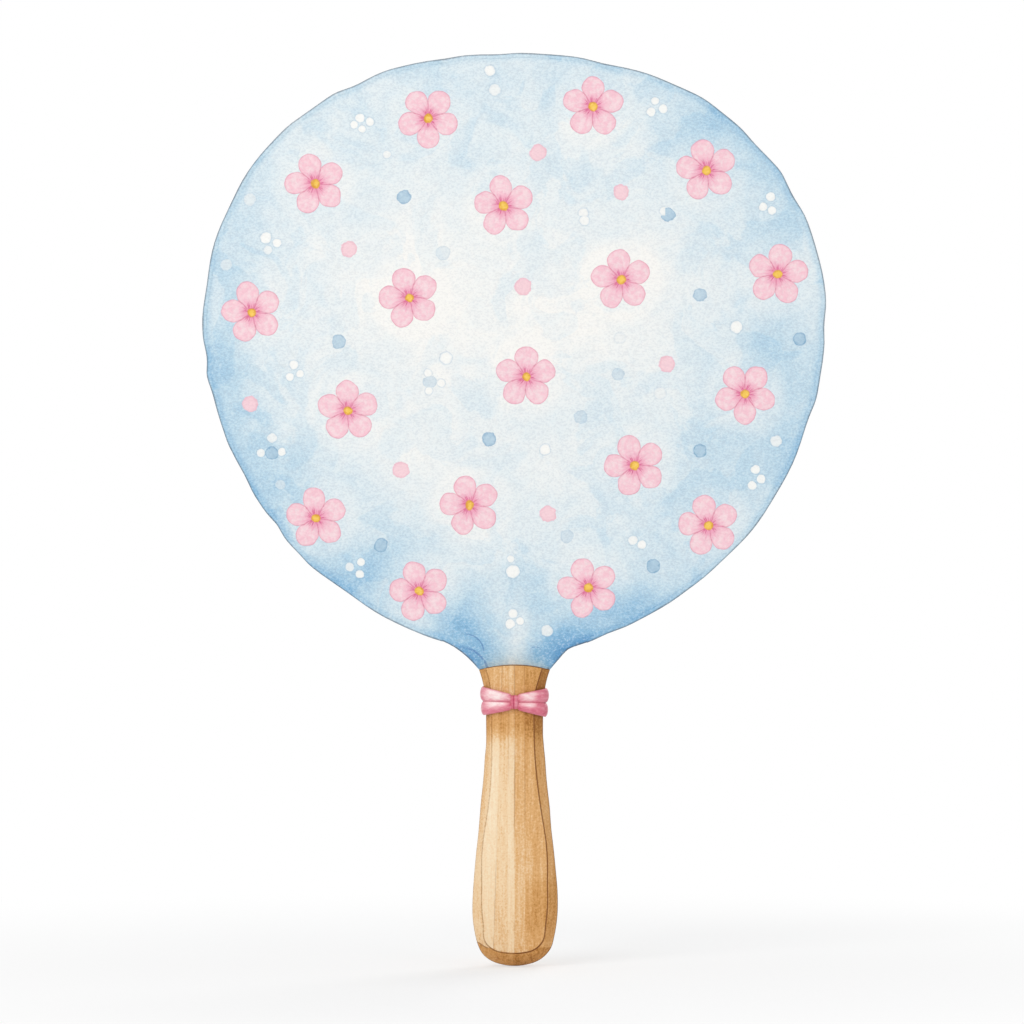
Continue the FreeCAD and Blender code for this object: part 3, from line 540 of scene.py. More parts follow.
def paper_finish(name, with_print=False):
    """Strong paper under blue washes: clouds, pools with dried edges, a darker cut edge and a tooth,
    with painted shade in the tooth's hollows and painted light on its tops.
    """
    finish, surface = new_finish(name)
    place = surface.node("TexCoord", output="Object")
    gap = surface.mark("edge_gap")
    clouds = place.spread(26, 4.0, 0.55, 0.4)
    drifts = place.spread(75, 5.0, 0.6, 0.8)
    pools = place.spread(38, 3.0, 0.5, 0.9)
    softness = place.spread(24, 2.0).rise(0.42, 0.6)
    tooth = place.stretch(1050, 1050, 1500).spread(1.0, 3.0, 0.65)
    pigment = place.spread(2300, 2.0, 0.7)
    blue = surface.mark("wash") + (clouds - 0.5) * CLOUD_DEPTH + (drifts - 0.5) * DRIFT_DEPTH
    blue = blue + (pools.rise(0.5, 0.515 + softness * 0.12) - 0.5) * POOL_DEPTH
    blue = blue + abs(pools - 0.5).rise(0.014, 0.0) * softness.rise(0.6, 0.1) * POOL_LINE_DEPTH
    blue = blue + (gap + (drifts - 0.5) * 6.0).rise(4.0, 0.5) * RIM_DEPTH
    spared = surface.mark("spared") + (clouds - 0.5) * 1.1 + (drifts - 0.5) * 0.6
    blue = blue - spared.rise(0.4, 0.9) * SPARED_DEPTH
    settled = blue + (pigment - 0.5) * (PIGMENT_DEPTH + blue.rise(0.3, 1.0) * 0.4)
    colour = settled.ramp(WASH_STOPS)
    hollows, tops = tooth.rise(0.55, 0.36), tooth.rise(0.5, 0.68)
    colour = (hollows * (0.04 + blue * 0.19)).cover(colour, TOOTH_BLUE)
    colour = (tops * (0.05 + blue * 0.14)).cover(colour, TOOTH_WHITE)
    if with_print:
        colour = printed(surface, colour, place)
    line = (gap + (drifts - 0.5) * 0.5 + (pigment - 0.5) * 0.3).rise(0.8, 0.2)
    line = line * place.part("Z").rise(*NECK_LINE)
    colour = (line * 0.78).cover(colour, CUT_EDGE_GREY)
    # Painted shade in the tooth's hollows and painted light on its tops, all over the sheet.
    colour = (hollows * 0.06).cover(colour, TOOTH_SHADE_GREY)
    colour = (tops * 0.10).cover(colour, TOOTH_WHITE)
    lay(
        surface, {"Base Color": colour}, {"Roughness": 0.85, "Specular IOR Level": 0.25},
        tooth * 0.8 + pigment * 0.2, TOOTH_RELIEF,
    )
    return finish


def soften(mesh, angle):
    """Shades a mesh smoothly, with a hard line only where it turns by more than an angle in degrees."""
    for face in mesh.faces:
        face.smooth = True
    for edge in mesh.edges:
        edge.smooth = edge.calc_face_angle(0.0) < math.radians(angle)


def thicken(piece, thickness):
    """Gives a sheet its thickness on the side that its faces turn away from."""
    wall = piece.modifiers.new("thickness", "SOLIDIFY")
    wall.thickness = thickness
    wall.offset = -1.0


sheet = outer_face("front_paper", -1)
cut_edge = edge_finder(sheet)
score_grid(sheet, GRID_STEP)
lay_out_print(sheet)
soak(sheet, cut_edge)
spare(sheet)
soften(sheet, PAPER_SMOOTH_TO)
front_finish = paper_finish("washed_and_printed_paper", with_print=True)
front_sheet = new_piece("front_sheet", sheet, front_finish, "front_paper", "front_paper")
thicken(front_sheet, PAPER_THICKNESS)


# Back sheet: the same paper cut to the same outline and washed in a plainer blue. It is pressed down
# between the ribs while the paste is wet, so that each rib stands out as a fine ridge.

ROW_STEP = 4.0 * MM
PRESSED_DEPTH = 0.16 * MM
# The ridge's top and foot are given in half widths of a rib, its distance from the rim in millimetres.
RIDGE_TOP, RIDGE_FOOT = 0.9, 2.1
RIB_MARKS = 60
BEND_FADE = 40 * MM
RIM_KEPT, RIM_FADE = 2.0, 4.0


def rib_run(name):
    """The straight run of a rib: its middle line, and half its width at the lower and the upper end."""
    strip = bmesh.new()
    strip.from_mesh(frame["nodes"][name].data)
    bmesh.ops.remove_doubles(strip, verts=strip.verts, dist=WELD)
    rims = [edge for edge in strip.edges if all(corner.co.y > 0 for corner in edge.verts)]
    rims = [edge for edge in rims if edge.calc_face_angle(0.0) > 1.0]
    sides = sorted(rims, key=lambda edge: edge.calc_length())[-2:]
    ends = [sorted((corner.co.copy() for corner in edge.verts), key=lambda co: co.z) for edge in sides]
    strip.free()
    (low_first, high_first), (low_second, high_second) = ends
    lower, upper = (low_first + low_second) / 2, (high_first + high_second) / 2
    return lower, upper, (low_first - lower).length, (high_first - upper).length


def press(sheet, way, depth):
    """Scores a sheet along both sides of every rib and presses it down between the ribs."""
    edge_gap = sheet.verts.layers.float["edge_gap"]
    square = Vector((0, 1, 0))
    marks = []
    for name in RIB_NAMES:
        lower, upper, low_half, high_half = rib_run(name)
        along = (upper - lower).normalized()
        across = along.cross(square)
        for step in range(RIB_MARKS + 1):
            marks.append((lower.lerp(upper, step / RIB_MARKS), lower, along, across, high_half))
        for share in (-RIDGE_FOOT, -RIDGE_TOP, RIDGE_TOP, RIDGE_FOOT):
            first, last = lower + across * share * low_half, upper + across * share * high_half
            close = []
            for face in sheet.faces:
                off = face.calc_center_median() - lower
                if off.dot(along) > 0 and abs(off.dot(across)) < 3 * ROW_STEP:
                    close.append(face)
            score(sheet, first, (last - first).cross(square).normalized(), close)
    near = kdtree.KDTree(len(marks))
    for number, mark in enumerate(marks):
        near.insert(mark[0], number)
    near.balance()
    for corner in sheet.verts:
        lower, along, across, half = marks[near.find(corner.co)[1]][1:]
        off = corner.co - lower
        beside = clamp((abs(off.dot(across)) / half - RIDGE_TOP) / (RIDGE_FOOT - RIDGE_TOP))
        above_bend = clamp(off.dot(along) / BEND_FADE)
        off_rim = clamp((corner[edge_gap] - RIM_KEPT) / RIM_FADE)
        corner.co.y -= way * depth * beside * above_bend * off_rim


sheet = outer_face("back_paper", 1)
score_grid(sheet, ROW_STEP)
soak(sheet, cut_edge)
press(sheet, 1, PRESSED_DEPTH)
soften(sheet, PAPER_SMOOTH_TO)
back_sheet = new_piece("back_sheet", sheet, paper_finish("washed_paper"), "back_paper", "back_paper")
thicken(back_sheet, PAPER_THICKNESS)


# Rim strip: a narrow strip of the same blue paper, creased lengthwise and pasted over the cut edges
# of both sheets all round the blade. Its crease is rubbed dark.

CREASE_ROUND = 0.2 * MM
CREASE_REACH = 0.3 * MM
CREASE_TURN = 60

strip = bmesh.new()
strip.from_mesh(frame["nodes"]["edge_binding"].data)
bmesh.ops.remove_doubles(strip, verts=strip.verts, dist=WELD)
strip_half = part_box("edge_binding")[1].y


def on_crease(edge):
    """Whether an edge runs along the fold, where the strip turns over the cut edge on either face."""
    first, second = (corner.co for corner in edge.verts)
    outside = first.y * second.y > 0.95 * strip_half ** 2
    at_edge = max(edge_distance(cut_edge, first), edge_distance(cut_edge, second)) < CREASE_REACH
    return outside and at_edge and edge.calc_face_angle(0.0) > math.radians(CREASE_TURN)


crease = [edge for edge in strip.edges if on_crease(edge)]
bmesh.ops.bevel(
    strip, geom=crease, offset=CREASE_ROUND, segments=2, profile=0.5, affect="EDGES", material=-1,
    clamp_overlap=True,
)
soak(strip, cut_edge)
spare(strip)
soften(strip, PAPER_SMOOTH_TO)
new_piece("rim_strip", strip, paper_finish("folded_rim_paper"), "rim_paper", "edge_binding")


# Handle: one piece of pale wood, carved to a flared top and a full butt, with chamfered arrises that
# are rubbed dark, and a slot sawn across its top for the ribs. Its colour carries painted light and shade:
# paler on the left, deeper on the right and on the butt's chamfer, with a painted shadow under the
# ribbon, and the arrises' dark line is painted deeper on the right and towards the butt as shade.

ARRIS_ROUND = 0.42 * MM
ARRIS_TURN, WOOD_SMOOTH_TO = 25, 30
PANEL_FACING, CHAMFER_FACING = 0.93, 0.3
# The panel's fall to its sides, its narrowing and its lift are shares. Its lean, how far its corners are
# set out, and what is pared off or left standing are millimetres, and so are all levels above the grip.
PANEL_FALL = 0.0454
PANEL_NARROWER, PANEL_LEAN, PANEL_LIFT = 0.12, 0.7, 0.085
BUTT_CORNERS, LEFT_CORNER, RIGHT_CORNER, TOP_CORNER = 0.5, 1.2, 0.6, 0.9
WAIST_CUT, LEFT_CUT, RIGHT_CUT = 0.4, 1.1, 0.6
GRIP_KEPT, BUTT_KEPT = 0.38, 0.3
CROWN_HEIGHT, CROWN_HALF = 0.45, 13.5
GRAIN_RELIEF = 0.12 * MM
COUNTED_ALONG = Vector((0.31, 0.17, 1.0))
BULB_LEVEL, BUTT_SIDE_RADIUS = -25.0, 90.0
CUTS_FROM, CUTS_TO = 60.0, -44.0
BROW_FROM = 62.0
FACET_CUTS = (
    # across at the upper and at the lower end, how far the knife left the line standing out
    (-5.2, -8.4, 0.16), (-2.2, -2.8, 0.08), (4.0, 4.3, 0.12),
)
# Tones of the facets and sides: paler on the left as painted light, deeper on the right and on the butt's
# chamfer as painted shade.
FACET_TONES = (0.20, 0.34, 0.28, 0.52, 0.60)
LEFT_TONE, RIGHT_TONE, BUTT_TONE = 0.36, 0.64, 0.76
WOOD_STOPS = (
    (0.0, paint(250, 231, 199)), (0.35, paint(242, 209, 165)), (0.6, paint(224, 173, 113)),
    (0.8, paint(205, 149, 83)), (1.0, paint(164, 107, 40)),
)
FACET_BROWN, CUT_BROWN, ARRIS_BROWN = paint(168, 112, 62), paint(138, 86, 36), paint(128, 76, 28)
BROW_BROWN = paint(82, 66, 52)


def ease(share):
    """Nought up to nought, one from one on, and soft between them."""
    share = clamp(share)
    return share * share * (3 - 2 * share)


def panel_side(face):
    """One for a face of the front panel, minus one for the back panel, and nought for all others."""
    if abs(face.normal.y) > PANEL_FACING and abs(face.calc_center_median().y) > 4 * MM:
        return -math.copysign(1.0, face.normal.y)
    return 0.0


def on_chamfer(face):
    """Whether a face leans between a panel and the handle's side."""
    return CHAMFER_FACING < abs(face.normal.y) < PANEL_FACING


def butt_fall(above):
    """How far the side of the handle falls back at a height below its fullest place."""
    below = max(0.0, BULB_LEVEL - above)
    return BUTT_SIDE_RADIUS - math.sqrt(BUTT_SIDE_RADIUS ** 2 - below ** 2)


def crown(x, z):
    """How much higher the carver left the middle of the top."""
    return CROWN_HEIGHT * ease((z - 64) / 4) * max(0.0, 1 - (x / CROWN_HALF) ** 2)


def pare(corner):
    """Moves a corner of the flanks to the carver's own line: slimmer at waist and belly, most on the left."""
    x, z = corner.co.x / MM, corner.co.z / MM
    cut = WAIST_CUT * ease((z - (33 if x < 0 else 38)) / 6) * ease((60 - z) / 8)
    if x < 0:
        cut += LEFT_CUT * ease((18 - z) / 18) * (1 - 0.5 * ease((-8 - z) / 26)) * ease((z + 46.5) / 6)
    else:
        belly = RIGHT_CUT * ease((12 - z) / 10) * (1 - 0.65 * ease((-8 - z) / 14))
        cut += belly - BUTT_KEPT * ease((-38 - z) / 6)
        cut -= GRIP_KEPT * ease((38 - z) / 6) * ease((z - 9) / 6)
    corner.co.x -= math.copysign(min(1.0, abs(x) / 8), x) * cut * MM
    corner.co.z += crown(x, z) * MM


def draw_in(corner):
    """Moves a corner of the front panel to the carver's own line: slimmer, a little to the left towards
    the top, higher and squarer at the butt."""
    x, z = corner.co.x / MM, corner.co.z / MM
    butt_corner, top_corner = (LEFT_CORNER, 0.0) if x < 0 else (RIGHT_CORNER, TOP_CORNER)
    corner_out = BUTT_CORNERS * ease((-15 - z) / 10) + butt_corner * ease((-33 - z) / 9)
    corner_out += top_corner * ease((z - 55) / 13)
    across = x * (1 - PANEL_NARROWER * ease((2 - z) / 32))
    across -= PANEL_LEAN * ease((z - 10) / 40) * min(1.0, abs(x) / 8)
    across += math.copysign(corner_out * min(1.0, abs(x) / 5), x)
    above = z + PANEL_LIFT * max(0.0, -20 - z) + crown(x, z)
    back = PANEL_FALL * (abs(across) - abs(x)) + butt_fall(above) - butt_fall(z)
    corner.co += Vector((across - x, back, above - z)) * MM


def put_in_order(mesh):
    """Numbers what a mesh is made of along one line, so that every run gives it in the same order."""
    mesh.verts.sort(key=lambda corner: corner.co.dot(COUNTED_ALONG))
    mesh.edges.sort(key=lambda edge: (edge.verts[0].co + edge.verts[1].co).dot(COUNTED_ALONG))
    mesh.faces.sort(key=lambda face: face.calc_center_median().dot(COUNTED_ALONG))


def cut_facet(body, top, butt, height, way):
    """Cuts a panel along a line, which is left standing out a little, and gives the line's corners."""
    first, last = Vector((way * top, 0, CUTS_FROM)) * MM, Vector((way * butt, 0, CUTS_TO)) * MM
    faces = [face for face in body.faces if face[panel] == way]
    made = score(body, first, (last - first).cross(Vector((0, 1, 0))).normalized(), faces)
    for corner in made:
        z = corner.co.z / MM
        corner.co.y -= way * height * MM * ease((z - CUTS_TO) / 10) * ease((CUTS_FROM + 6 - z) / 10)
    return made


def face_tone(face):
    """How deep the wood's colour is on a face: painted pale on the left of either side as light, and deeper
    on the right as shade.
    """
    centre, normal = face.calc_center_median() / MM, face.normal
    way = -1 if normal.y > 0.3 else 1
    if face[panel]:
        run = (CUTS_FROM - centre.z) / (CUTS_FROM - CUTS_TO)
        lines = [0.0] + [top + run * (butt - top) for top, butt, height in FACET_CUTS]
        return FACET_TONES[sum(centre.x * way > line for line in lines)]
    if normal.z > 0.5:
        return (LEFT_TONE + RIGHT_TONE) / 2
    return RIGHT_TONE if normal.x * way > 0 else LEFT_TONE


body = bmesh.new()
body.from_mesh(frame["nodes"]["handle"].data)
bmesh.ops.remove_doubles(body, verts=body.verts, dist=0.01 * MM)
arris = body.faces.layers.float.new("arris")
tone = body.faces.layers.float.new("tone")
panel = body.faces.layers.float.new("panel")
brow = body.faces.layers.float.new("brow")
arrises = [edge for edge in body.edges if edge.calc_face_angle(0.0) > math.radians(ARRIS_TURN)]
arrises = [edge for edge in arrises if not all(on_chamfer(face) for face in edge.link_faces)]
for face in body.faces:
    face[panel] = panel_side(face)
for corner in body.verts:
    if any(face[panel] == 1 for face in corner.link_faces):
        draw_in(corner)
    else:
        pare(corner)
body.normal_update()
rubbed = bmesh.ops.bevel(
    body, geom=arrises, offset=ARRIS_ROUND, segments=2, profile=0.5, affect="EDGES", material=-1,
    clamp_overlap=True,
)
for face in rubbed["faces"]:
    face[arris] = 1.0
    face[panel] = 0.0
lines = {corner for corner in body.verts if abs(corner.co.x) < 0.02 * MM}
for top, butt, height in FACET_CUTS:
    for way in (1, -1):
        lines.update(cut_facet(body, top, butt, height, way))
body.normal_update()
soften(body, WOOD_SMOOTH_TO)
for edge in body.edges:
    if all(corner in lines for corner in edge.verts):
        edge.smooth = False
    elif all(on_chamfer(face) for face in edge.link_faces):
        edge.smooth = True
for face in body.faces:
    face[tone] = face_tone(face)
    at_top = face.normal.z > 0.3 and face.calc_center_median().z > BROW_FROM * MM
    face[brow] = face[arris] * at_top
put_in_order(body)

wood, surface = new_finish("carved_wood")
place = surface.node("TexCoord", output="Object")
front = place.part("Y").rise(0.0005, -0.0005)
across, above = place.part("X") * 1000 * (front * 2 - 1), place.part("Z") * 1000
sway = place.stretch(60, 60, 45).spread(1.0, 3.0, 0.6) - 0.5
fibres = place.stretch(1500, 1500, 40).spread(1.0, 4.0, 0.6)
bands = place.stretch(170, 170, 9).spread(1.0, 3.0, 0.5, 0.5)
speckle = place.spread(1300, 3.0, 0.7)
# right_side marks the right half, whose colour is painted deeper as shade.
right_side = (across + sway * 2.2).rise(-0.4, 0.6)
flank = 1 - abs(surface.mark("panel"))
# under is a painted shadow below the ribbon; high deepens the tone towards the top.
under = above.rise(37.0, 47.0) * above.rise(60.0, 52.0)
high = above.rise(50.0, 60.0)
shade = surface.mark("tone") + under * 0.34 + high * 0.2 - right_side * (under * 0.10 + high * 0.08)
# The panel's left strip takes more of the painted shadow under the ribbon and of the deeper top.
left_strip = (under + high) * 0.15 + above.rise(28.0, 38.0) * 0.06
shade = shade + left_strip * across.rise(-4.0, -6.5) * (1 - flank)
flank_shade = above.rise(0.0, 36.0) * (0.1 - right_side * 0.1) + high * (0.08 + right_side * 0.1)
shade = shade + flank * flank_shade
shade = shade + above.rise(-14.0, -30.0) * 0.06
from_cut = above + across.rise(-15.0, -10.5) * 2.0 + sway * 0.8 + 40.2
# The butt's chamfer takes the butt tone, painted shade, and is deeper still on the right.
shade = shade + (BUTT_TONE + right_side * 0.14 - shade) * from_cut.rise(0.2, -0.2) * flank
stain = (across + sway * 4.0).rise(3.6, 4.4) * (above + sway * 20.0).rise(-12.0, -20.0)
shade = shade + stain * (above + sway * 12.0).rise(-40.0, -32.0) * front * 0.10
shade = shade + (bands - 0.5) * 0.5 + (fibres - 0.5) * 0.5 + (speckle - 0.5) * 0.75
colour = shade.ramp(WOOD_STOPS)
for top, butt, height in (*FACET_CUTS, (0.0, 0.0, 0.2)):
    slope = (butt - top) / (CUTS_FROM - CUTS_TO)
    off_line = across - top - (CUTS_FROM - above) * slope + sway * 0.6
    line = abs(off_line).rise(0.4, 0.05) * bands.rise(0.4, 0.6) * (1 - flank) * (height * 3.0)
    colour = line.cover(colour, FACET_BROWN)
cut = abs(from_cut).rise(0.4, 0.1) * across.rise(-10.0, -11.0) * flank * front
colour = (cut * 0.7).cover(colour, CUT_BROWN)
# The arrises' dark line: rubbed dark, and painted deeper on the right and towards the butt as shade.
rub_and_shade = 0.42 + right_side * 0.35 + above.rise(-36.0, -44.0) * 0.25
rub_and_shade = rub_and_shade + (bands - 0.5) * 0.5 + (speckle - 0.5) * 0.5
colour = (surface.mark("arris") * rub_and_shade.rise(0.0, 1.0)).cover(colour, ARRIS_BROWN)
colour = (surface.mark("brow") * 0.85).cover(colour, BROW_BROWN)
lay(
    surface, {"Base Color": colour, "Roughness": 0.5 + fibres * 0.2}, {"Specular IOR Level": 0.35},
    fibres, GRAIN_RELIEF,
)
new_piece("carved_handle", body, wood, "handle_wood", "handle")


# Ribbon: one length of pink satin ribbon with its edges turned in, wound twice round the waist. A short
# piece of the same ribbon closes round both turns in front and gathers them. Its light and shade are
# painted into its colour: a painted highlight on each loop, and painted shade on the right, by the knot
# and in the knot's crease.

RIBBON_ALONG, RIBBON_ACROSS = 288, 36
KNOT_ALONG, KNOT_ACROSS = 40, 24
SATIN_SMOOTH_TO = 80
RIBBON_SQUARENESS = 4
BAND_HEIGHT, LOOP_HEIGHT, GATHERED_HEIGHT, TURN_GAP = 5.7 * MM, 3.0 * MM, 2.2 * MM, 0.04 * MM
PUFF, BELLY, TURNED_IN = 1.1 * MM, 0.7 * MM, 0.42 * MM
GROOVE, SIDE_HUG, LOWER_HUG = 0.55 * MM, 0.2 * MM, 0.35 * MM
GATHER, SIDE_DRAW, FRONT_ROOM = 0.2 * MM, 0.05 * MM, 0.9 * MM
HEM_TURN = 1.25
TILT = 0.35 * MM
# Where the painted highlight lies: middle and reach across in millimetres, then across the ribbon's own
# width.
GLOW_LEFT, GLOW_RIGHT = (7.0, 4.2), (5.4, 3.4)
GLOW_UPPER, GLOW_LOWER = (0.05, 0.36), (0.28, 0.24)
KNOT_SWELL, KNOT_CREASE, KNOT_OVER, KNOT_TAIL = 0.9 * MM, 0.36 * MM, 0.3 * MM, 0.25 * MM
KNOT_TURN, KNOT_ROUND = 0.35, 0.62
SATIN_THICKNESS, THREAD_RELIEF = 0.1 * MM, 0.03 * MM
# The satin's colours run from painted shade through its own pink to a painted highlight.
SATIN_STOPS = (
    (0.0, paint(186, 64, 96)), (0.12, paint(204, 84, 111)), (0.4, paint(225, 129, 148)),
    (0.7, paint(243, 184, 191)), (1.0, paint(254, 232, 230)),
)
ribbon_low, ribbon_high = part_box("ribbon")
knot_low, knot_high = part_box("ribbon_knot")
RIBBON_LEVEL = (ribbon_low.z + ribbon_high.z) / 2
LOOP_HALVES = (ribbon_high.x - PUFF, ribbon_high.y - FRONT_ROOM)
KNOT_HALF = knot_high.x
LOOP_START = 0.7 * KNOT_HALF
KNOT_LEAN = math.atan(0.84 * KNOT_HALF / LOOP_HALVES[1])


def loop_place(angle):
    """Place and outward direction on the loop that the ribbon follows, from the front over the right."""
    away = Vector((math.sin(angle), -math.cos(angle), 0.0))
    power = RIBBON_SQUARENESS
    reach = sum(abs(away[k] / LOOP_HALVES[k]) ** power for k in range(2)) ** (-1 / power)
    place = away * reach
    steep = [abs(place[k]) ** (power - 1) / LOOP_HALVES[k] ** power for k in range(2)]
    slopes = [math.copysign(steep[k], away[k]) for k in range(2)]
    return place, Vector((slopes[0], slopes[1], 0.0)).normalized()


def ribbon_place(share, side):
    """Where a point of the flat ribbon comes to lie, and how much light is painted on it there."""
    angle = KNOT_LEAN / 2 + share * (2 * math.tau - KNOT_LEAN)
    place, outward = loop_place(angle)
    turn = min(1.0, max(-1.0, (math.tau - angle) / KNOT_LEAN))
    from_knot = 1.0
    if place.y < 0:
        from_knot = max(0.0, abs(place.x) - LOOP_START) / (LOOP_HALVES[0] - LOOP_START)
    height = GATHERED_HEIGHT + ease(from_knot / 0.05) * (LOOP_HEIGHT - GATHERED_HEIGHT)
    height += from_knot ** 0.9 * (BAND_HEIGHT - LOOP_HEIGHT)
    bend = side * (math.pi / 2 + HEM_TURN)
    level = RIBBON_LEVEL + turn * (height + TURN_GAP) / 2 - TILT * place.x / LOOP_HALVES[0]
    rise = height / 2 * math.sin(bend)
    inner = side * turn < 0
    beside = outward.x ** 4
    edge = GROOVE * (1 - from_knot ** 6) * inner - SIDE_HUG * beside
    if abs(bend) < math.pi / 2:
        fullness = 2 - from_knot ** 6 if inner else 0.65 + 0.35 * from_knot ** 4
        puff = PUFF * (0.4 + 0.6 * from_knot ** 0.5) + BELLY * math.sin(math.pi * from_knot ** 0.4)
        puff -= SIDE_DRAW * beside
        gathers = (1 - from_knot) * math.exp(-2 * from_knot) * math.cos(6 * bend + 0.8)
        out = edge + (puff - edge) * math.cos(bend) ** fullness + GATHER * gathers * math.cos(bend)
    else:
        out = edge - TURNED_IN * (1 - 0.6 * beside) * abs(math.cos(bend)) ** 0.6
    out -= LOWER_HUG * beside * (1 - turn) / 2
    # Painted light: a highlight on each loop, and less light on the right, by the knot, at the tips, towards
    # the lower turn's lower edge and where the satin turns away.
    middle, reach = GLOW_LEFT if place.x < 0 else GLOW_RIGHT
    brightest, spread = GLOW_UPPER if turn > 0 else GLOW_LOWER
    glow = math.exp(-((side - brightest) / spread) ** 4 - ((abs(place.x) / MM - middle) / reach) ** 4)
    glow *= ease(-place.y / (3 * MM))
    crest = 0.36 - 0.12 * place.x / LOOP_HALVES[0] - 0.16 * math.exp(-5 * from_knot)
    crest -= 0.08 * ease((abs(place.x) / MM - 10.5) / 2)
    crest *= (1.0 if turn > 0 else 0.85 + 0.4 * side) * max(0.0, math.cos(bend)) ** 0.3
    return place + outward * out + Vector((0.0, 0.0, level + rise)), crest + 0.44 * glow


def knot_place(share, side):
    """The knot: a narrow band round both turns, from behind over the top and the front to below, and how
    much light is painted on it, with painted shade in its crease.
    """
    bend = share * (math.pi / 2 + KNOT_TURN)
    facing = max(0.0, math.cos(bend))
    back = knot_high.y - KNOT_TAIL
    depth = back - knot_low.y
    half = GATHERED_HEIGHT + KNOT_OVER
    upward = math.copysign(abs(math.sin(bend)) ** KNOT_ROUND, math.sin(bend))
    crease = math.exp(-((side + 0.2) / 0.2) ** 2)
    swell = KNOT_SWELL * (1 - side ** 2) ** 0.7 - KNOT_CREASE * crease
    width = KNOT_HALF * (0.86 + 0.22 * facing)
    y = back - (depth - KNOT_SWELL) * facing ** KNOT_ROUND - swell * facing
    z = RIBBON_LEVEL + half * upward + swell * 0.3 * math.sin(bend)
    crest = (0.14 + 0.22 * facing * (1 - abs(side - 0.4))) * (1 - crease) - 0.16 * crease
    return Vector((side * width, y, z)), crest


def satin_piece(along, across, placed):
    """A strip of satin, laid from a flat grid to where a rule puts each of its points, with the light
    that the rule paints on them.
    """
    cloth = bmesh.new()
    weave = cloth.loops.layers.uv.new("weave")
    bmesh.ops.create_grid(cloth, x_segments=along, y_segments=across, size=1.0)
    crest = cloth.verts.layers.float.new("crest")
    for face in cloth.faces:
        for loop in face.loops:
            loop[weave].uv = loop.vert.co.xy
    for corner in cloth.verts:
        corner.co, corner[crest] = placed(corner.co.x, corner.co.y)
    bmesh.ops.recalc_face_normals(cloth, faces=cloth.faces)
    soften(cloth, SATIN_SMOOTH_TO)
    return cloth


satin, surface = new_finish("pink_satin")
place = surface.node("TexCoord", output="Object")
weave = surface.node("UVMap", {"uv_map": "weave"})
threads = weave.stretch(60, 90, 1).spread(1.0, 2.0, 0.5)
folds = place.stretch(260, 260, 620).spread(1.0, 4.0, 0.65, 0.4)
# The sheen is painted light and shade: the light each corner carries, stirred by noise.
sheen = surface.mark("crest") + 0.1 + (folds - 0.5) * 1.0 + (threads - 0.5) * 0.15
colour = sheen.ramp(SATIN_STOPS)
lay(
    surface, {"Base Color": colour, "Roughness": 0.45 + threads * 0.15}, {"Sheen Weight": 0.2},
    threads, THREAD_RELIEF,
)
ribbon_mesh = satin_piece(RIBBON_ALONG, RIBBON_ACROSS, lambda x, y: ribbon_place((x + 1) / 2, y))
ribbon = new_piece("satin_ribbon", ribbon_mesh, satin, "ribbon", "ribbon")
thicken(ribbon, SATIN_THICKNESS)
knot_mesh = satin_piece(KNOT_ALONG, KNOT_ACROSS, knot_place)
knot = new_piece("satin_knot", knot_mesh, satin, "ribbon", "ribbon_knot")
thicken(knot, SATIN_THICKNESS)


# Studio: a pale floor that runs out into white, a large soft lamp high on the left, a weaker one on
# the right and one behind, and an even white surround.

WHITE, FLOOR_GREY = (1.0, 1.0, 1.0, 1.0), (0.93, 0.93, 0.93, 1.0)
FLOOR_LEVEL = cad_box[0].z - 0.2 * MM
FLOOR_RADIUS, FLOOR_SIDES = 30.0, 96
FLOOR_GLOW, WHITE_AFTER = 0.55, (0.08, 0.42)
SURROUND_STRENGTH = 0.5
CAMERA_PLACE = Vector((-0.001, -2.0, 0.1316))
FRAME_WIDTH = 1024 * 0.4 * MM

ground_mesh = bmesh.new()
bmesh.ops.create_circle(
    ground_mesh, cap_ends=True, segments=FLOOR_SIDES, radius=FLOOR_RADIUS,
    matrix=Matrix.Translation((0, 0, FLOOR_LEVEL)),
)
floor_data = bpy.data.meshes.new("floor")
ground_mesh.to_mesh(floor_data)
ground_mesh.free()
floor = bpy.data.objects.new("floor", floor_data)
bpy.context.scene.collection.objects.link(floor)
floor_finish, surface = new_finish("white_floor")
floor_data.materials.append(floor_finish)
lay(surface, {}, {"Base Color": FLOOR_GREY, "Roughness": 0.9, "Specular IOR Level": 0.0})
place = surface.node("TexCoord", output="Object")
distance = place.length()


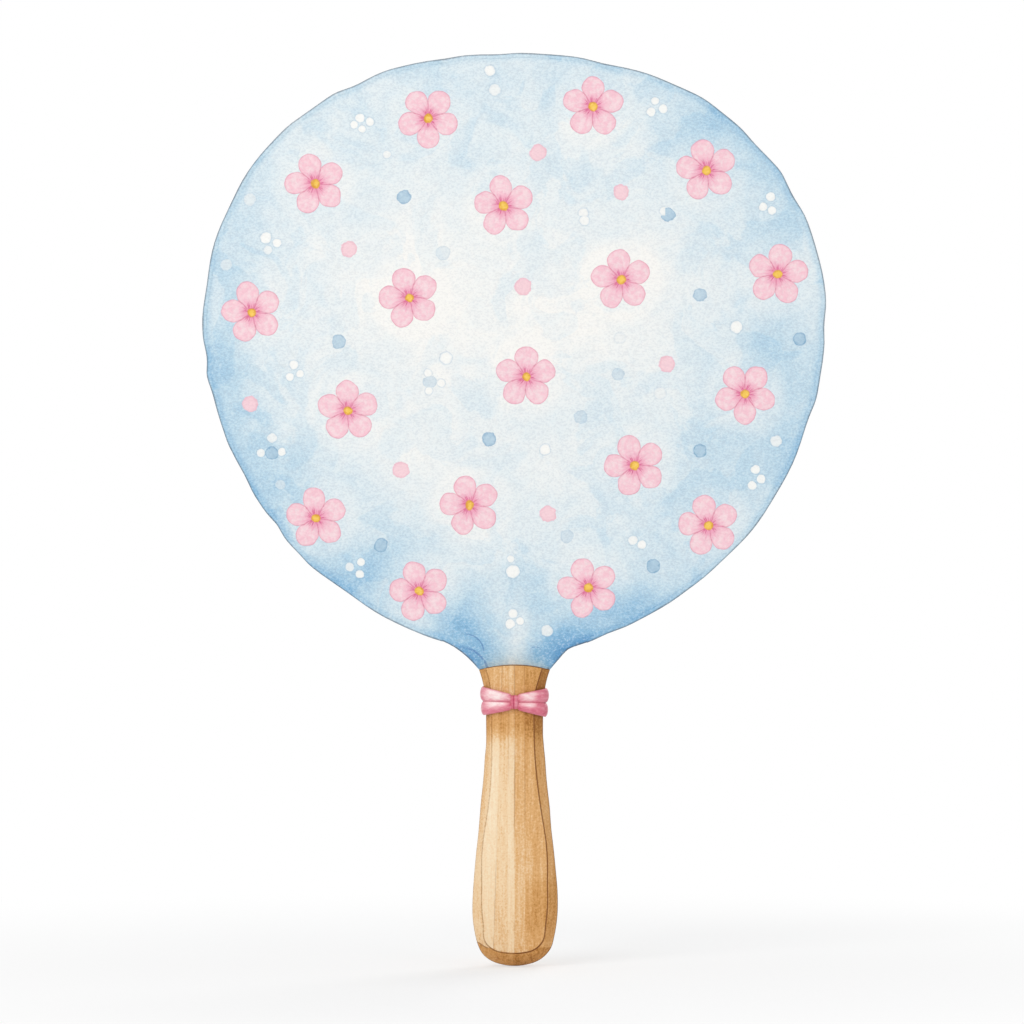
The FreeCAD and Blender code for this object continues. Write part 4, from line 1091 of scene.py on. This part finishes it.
def seen_plainly(surface):
    """One for what the camera sees, straight or in a reflection or through glass."""
    seen = surface.node("LightPath", output="Is Camera Ray")
    for ray in ("Is Glossy Ray", "Is Transmission Ray"):
        seen = seen.math("MAXIMUM", seen, surface.node("LightPath", output=ray))
    return seen


white = surface.node("Emission", None, {"Color": WHITE, "Strength": 1.0})
share = (FLOOR_GLOW + distance.rise(*WHITE_AFTER) * (1 - FLOOR_GLOW)) * seen_plainly(surface)
ground = share.node("MixShader", None, {0: share, 1: surface, 2: white})
tree = floor_finish.node_tree
tree.links.new(ground.socket, tree.nodes["Material Output"].inputs["Surface"])

world = bpy.data.worlds.new("studio")
bpy.context.scene.world = world
world.use_nodes = True
tree = world.node_tree
surround = Amount(tree.nodes["Background"].outputs[0])
tree.nodes["Background"].inputs["Color"].default_value = WHITE
tree.nodes["Background"].inputs["Strength"].default_value = SURROUND_STRENGTH
backdrop = surround.node("Background", None, {"Color": WHITE, "Strength": 1.0})
seen = seen_plainly(surround)
sky = seen.node("MixShader", None, {0: seen, 1: surround, 2: backdrop})
tree.links.new(sky.socket, tree.nodes["World Output"].inputs["Surface"])

AIM = Vector((0.0, 0.0, 0.15))
for name, place, size, power in (
    ("key_lamp", Vector((-1.1, -1.5, 1.3)), 1.2, 19.5),
    ("fill_lamp", Vector((1.4, -1.6, 0.5)), 1.2, 5.3),
    ("back_lamp", Vector((0.9, 1.7, 1.2)), 1.2, 19.5),
):
    lamp = bpy.data.lights.new(name, "AREA")
    lamp.size = size
    lamp.energy = power
    stand = bpy.data.objects.new(name, lamp)
    stand.location = place
    stand.rotation_euler = (AIM - place).to_track_quat("-Z", "Y").to_euler()
    bpy.context.scene.collection.objects.link(stand)

camera = bpy.data.cameras.new("camera")
camera.sensor_width = 36.0
camera.lens = camera.sensor_width * -CAMERA_PLACE.y / FRAME_WIDTH
tripod = bpy.data.objects.new("camera", camera)
tripod.location = CAMERA_PLACE
tripod.rotation_euler = (math.pi / 2, 0.0, 0.0)
bpy.context.scene.collection.objects.link(tripod)
bpy.context.scene.camera = tripod
bpy.context.scene.view_settings.view_transform = "Standard"
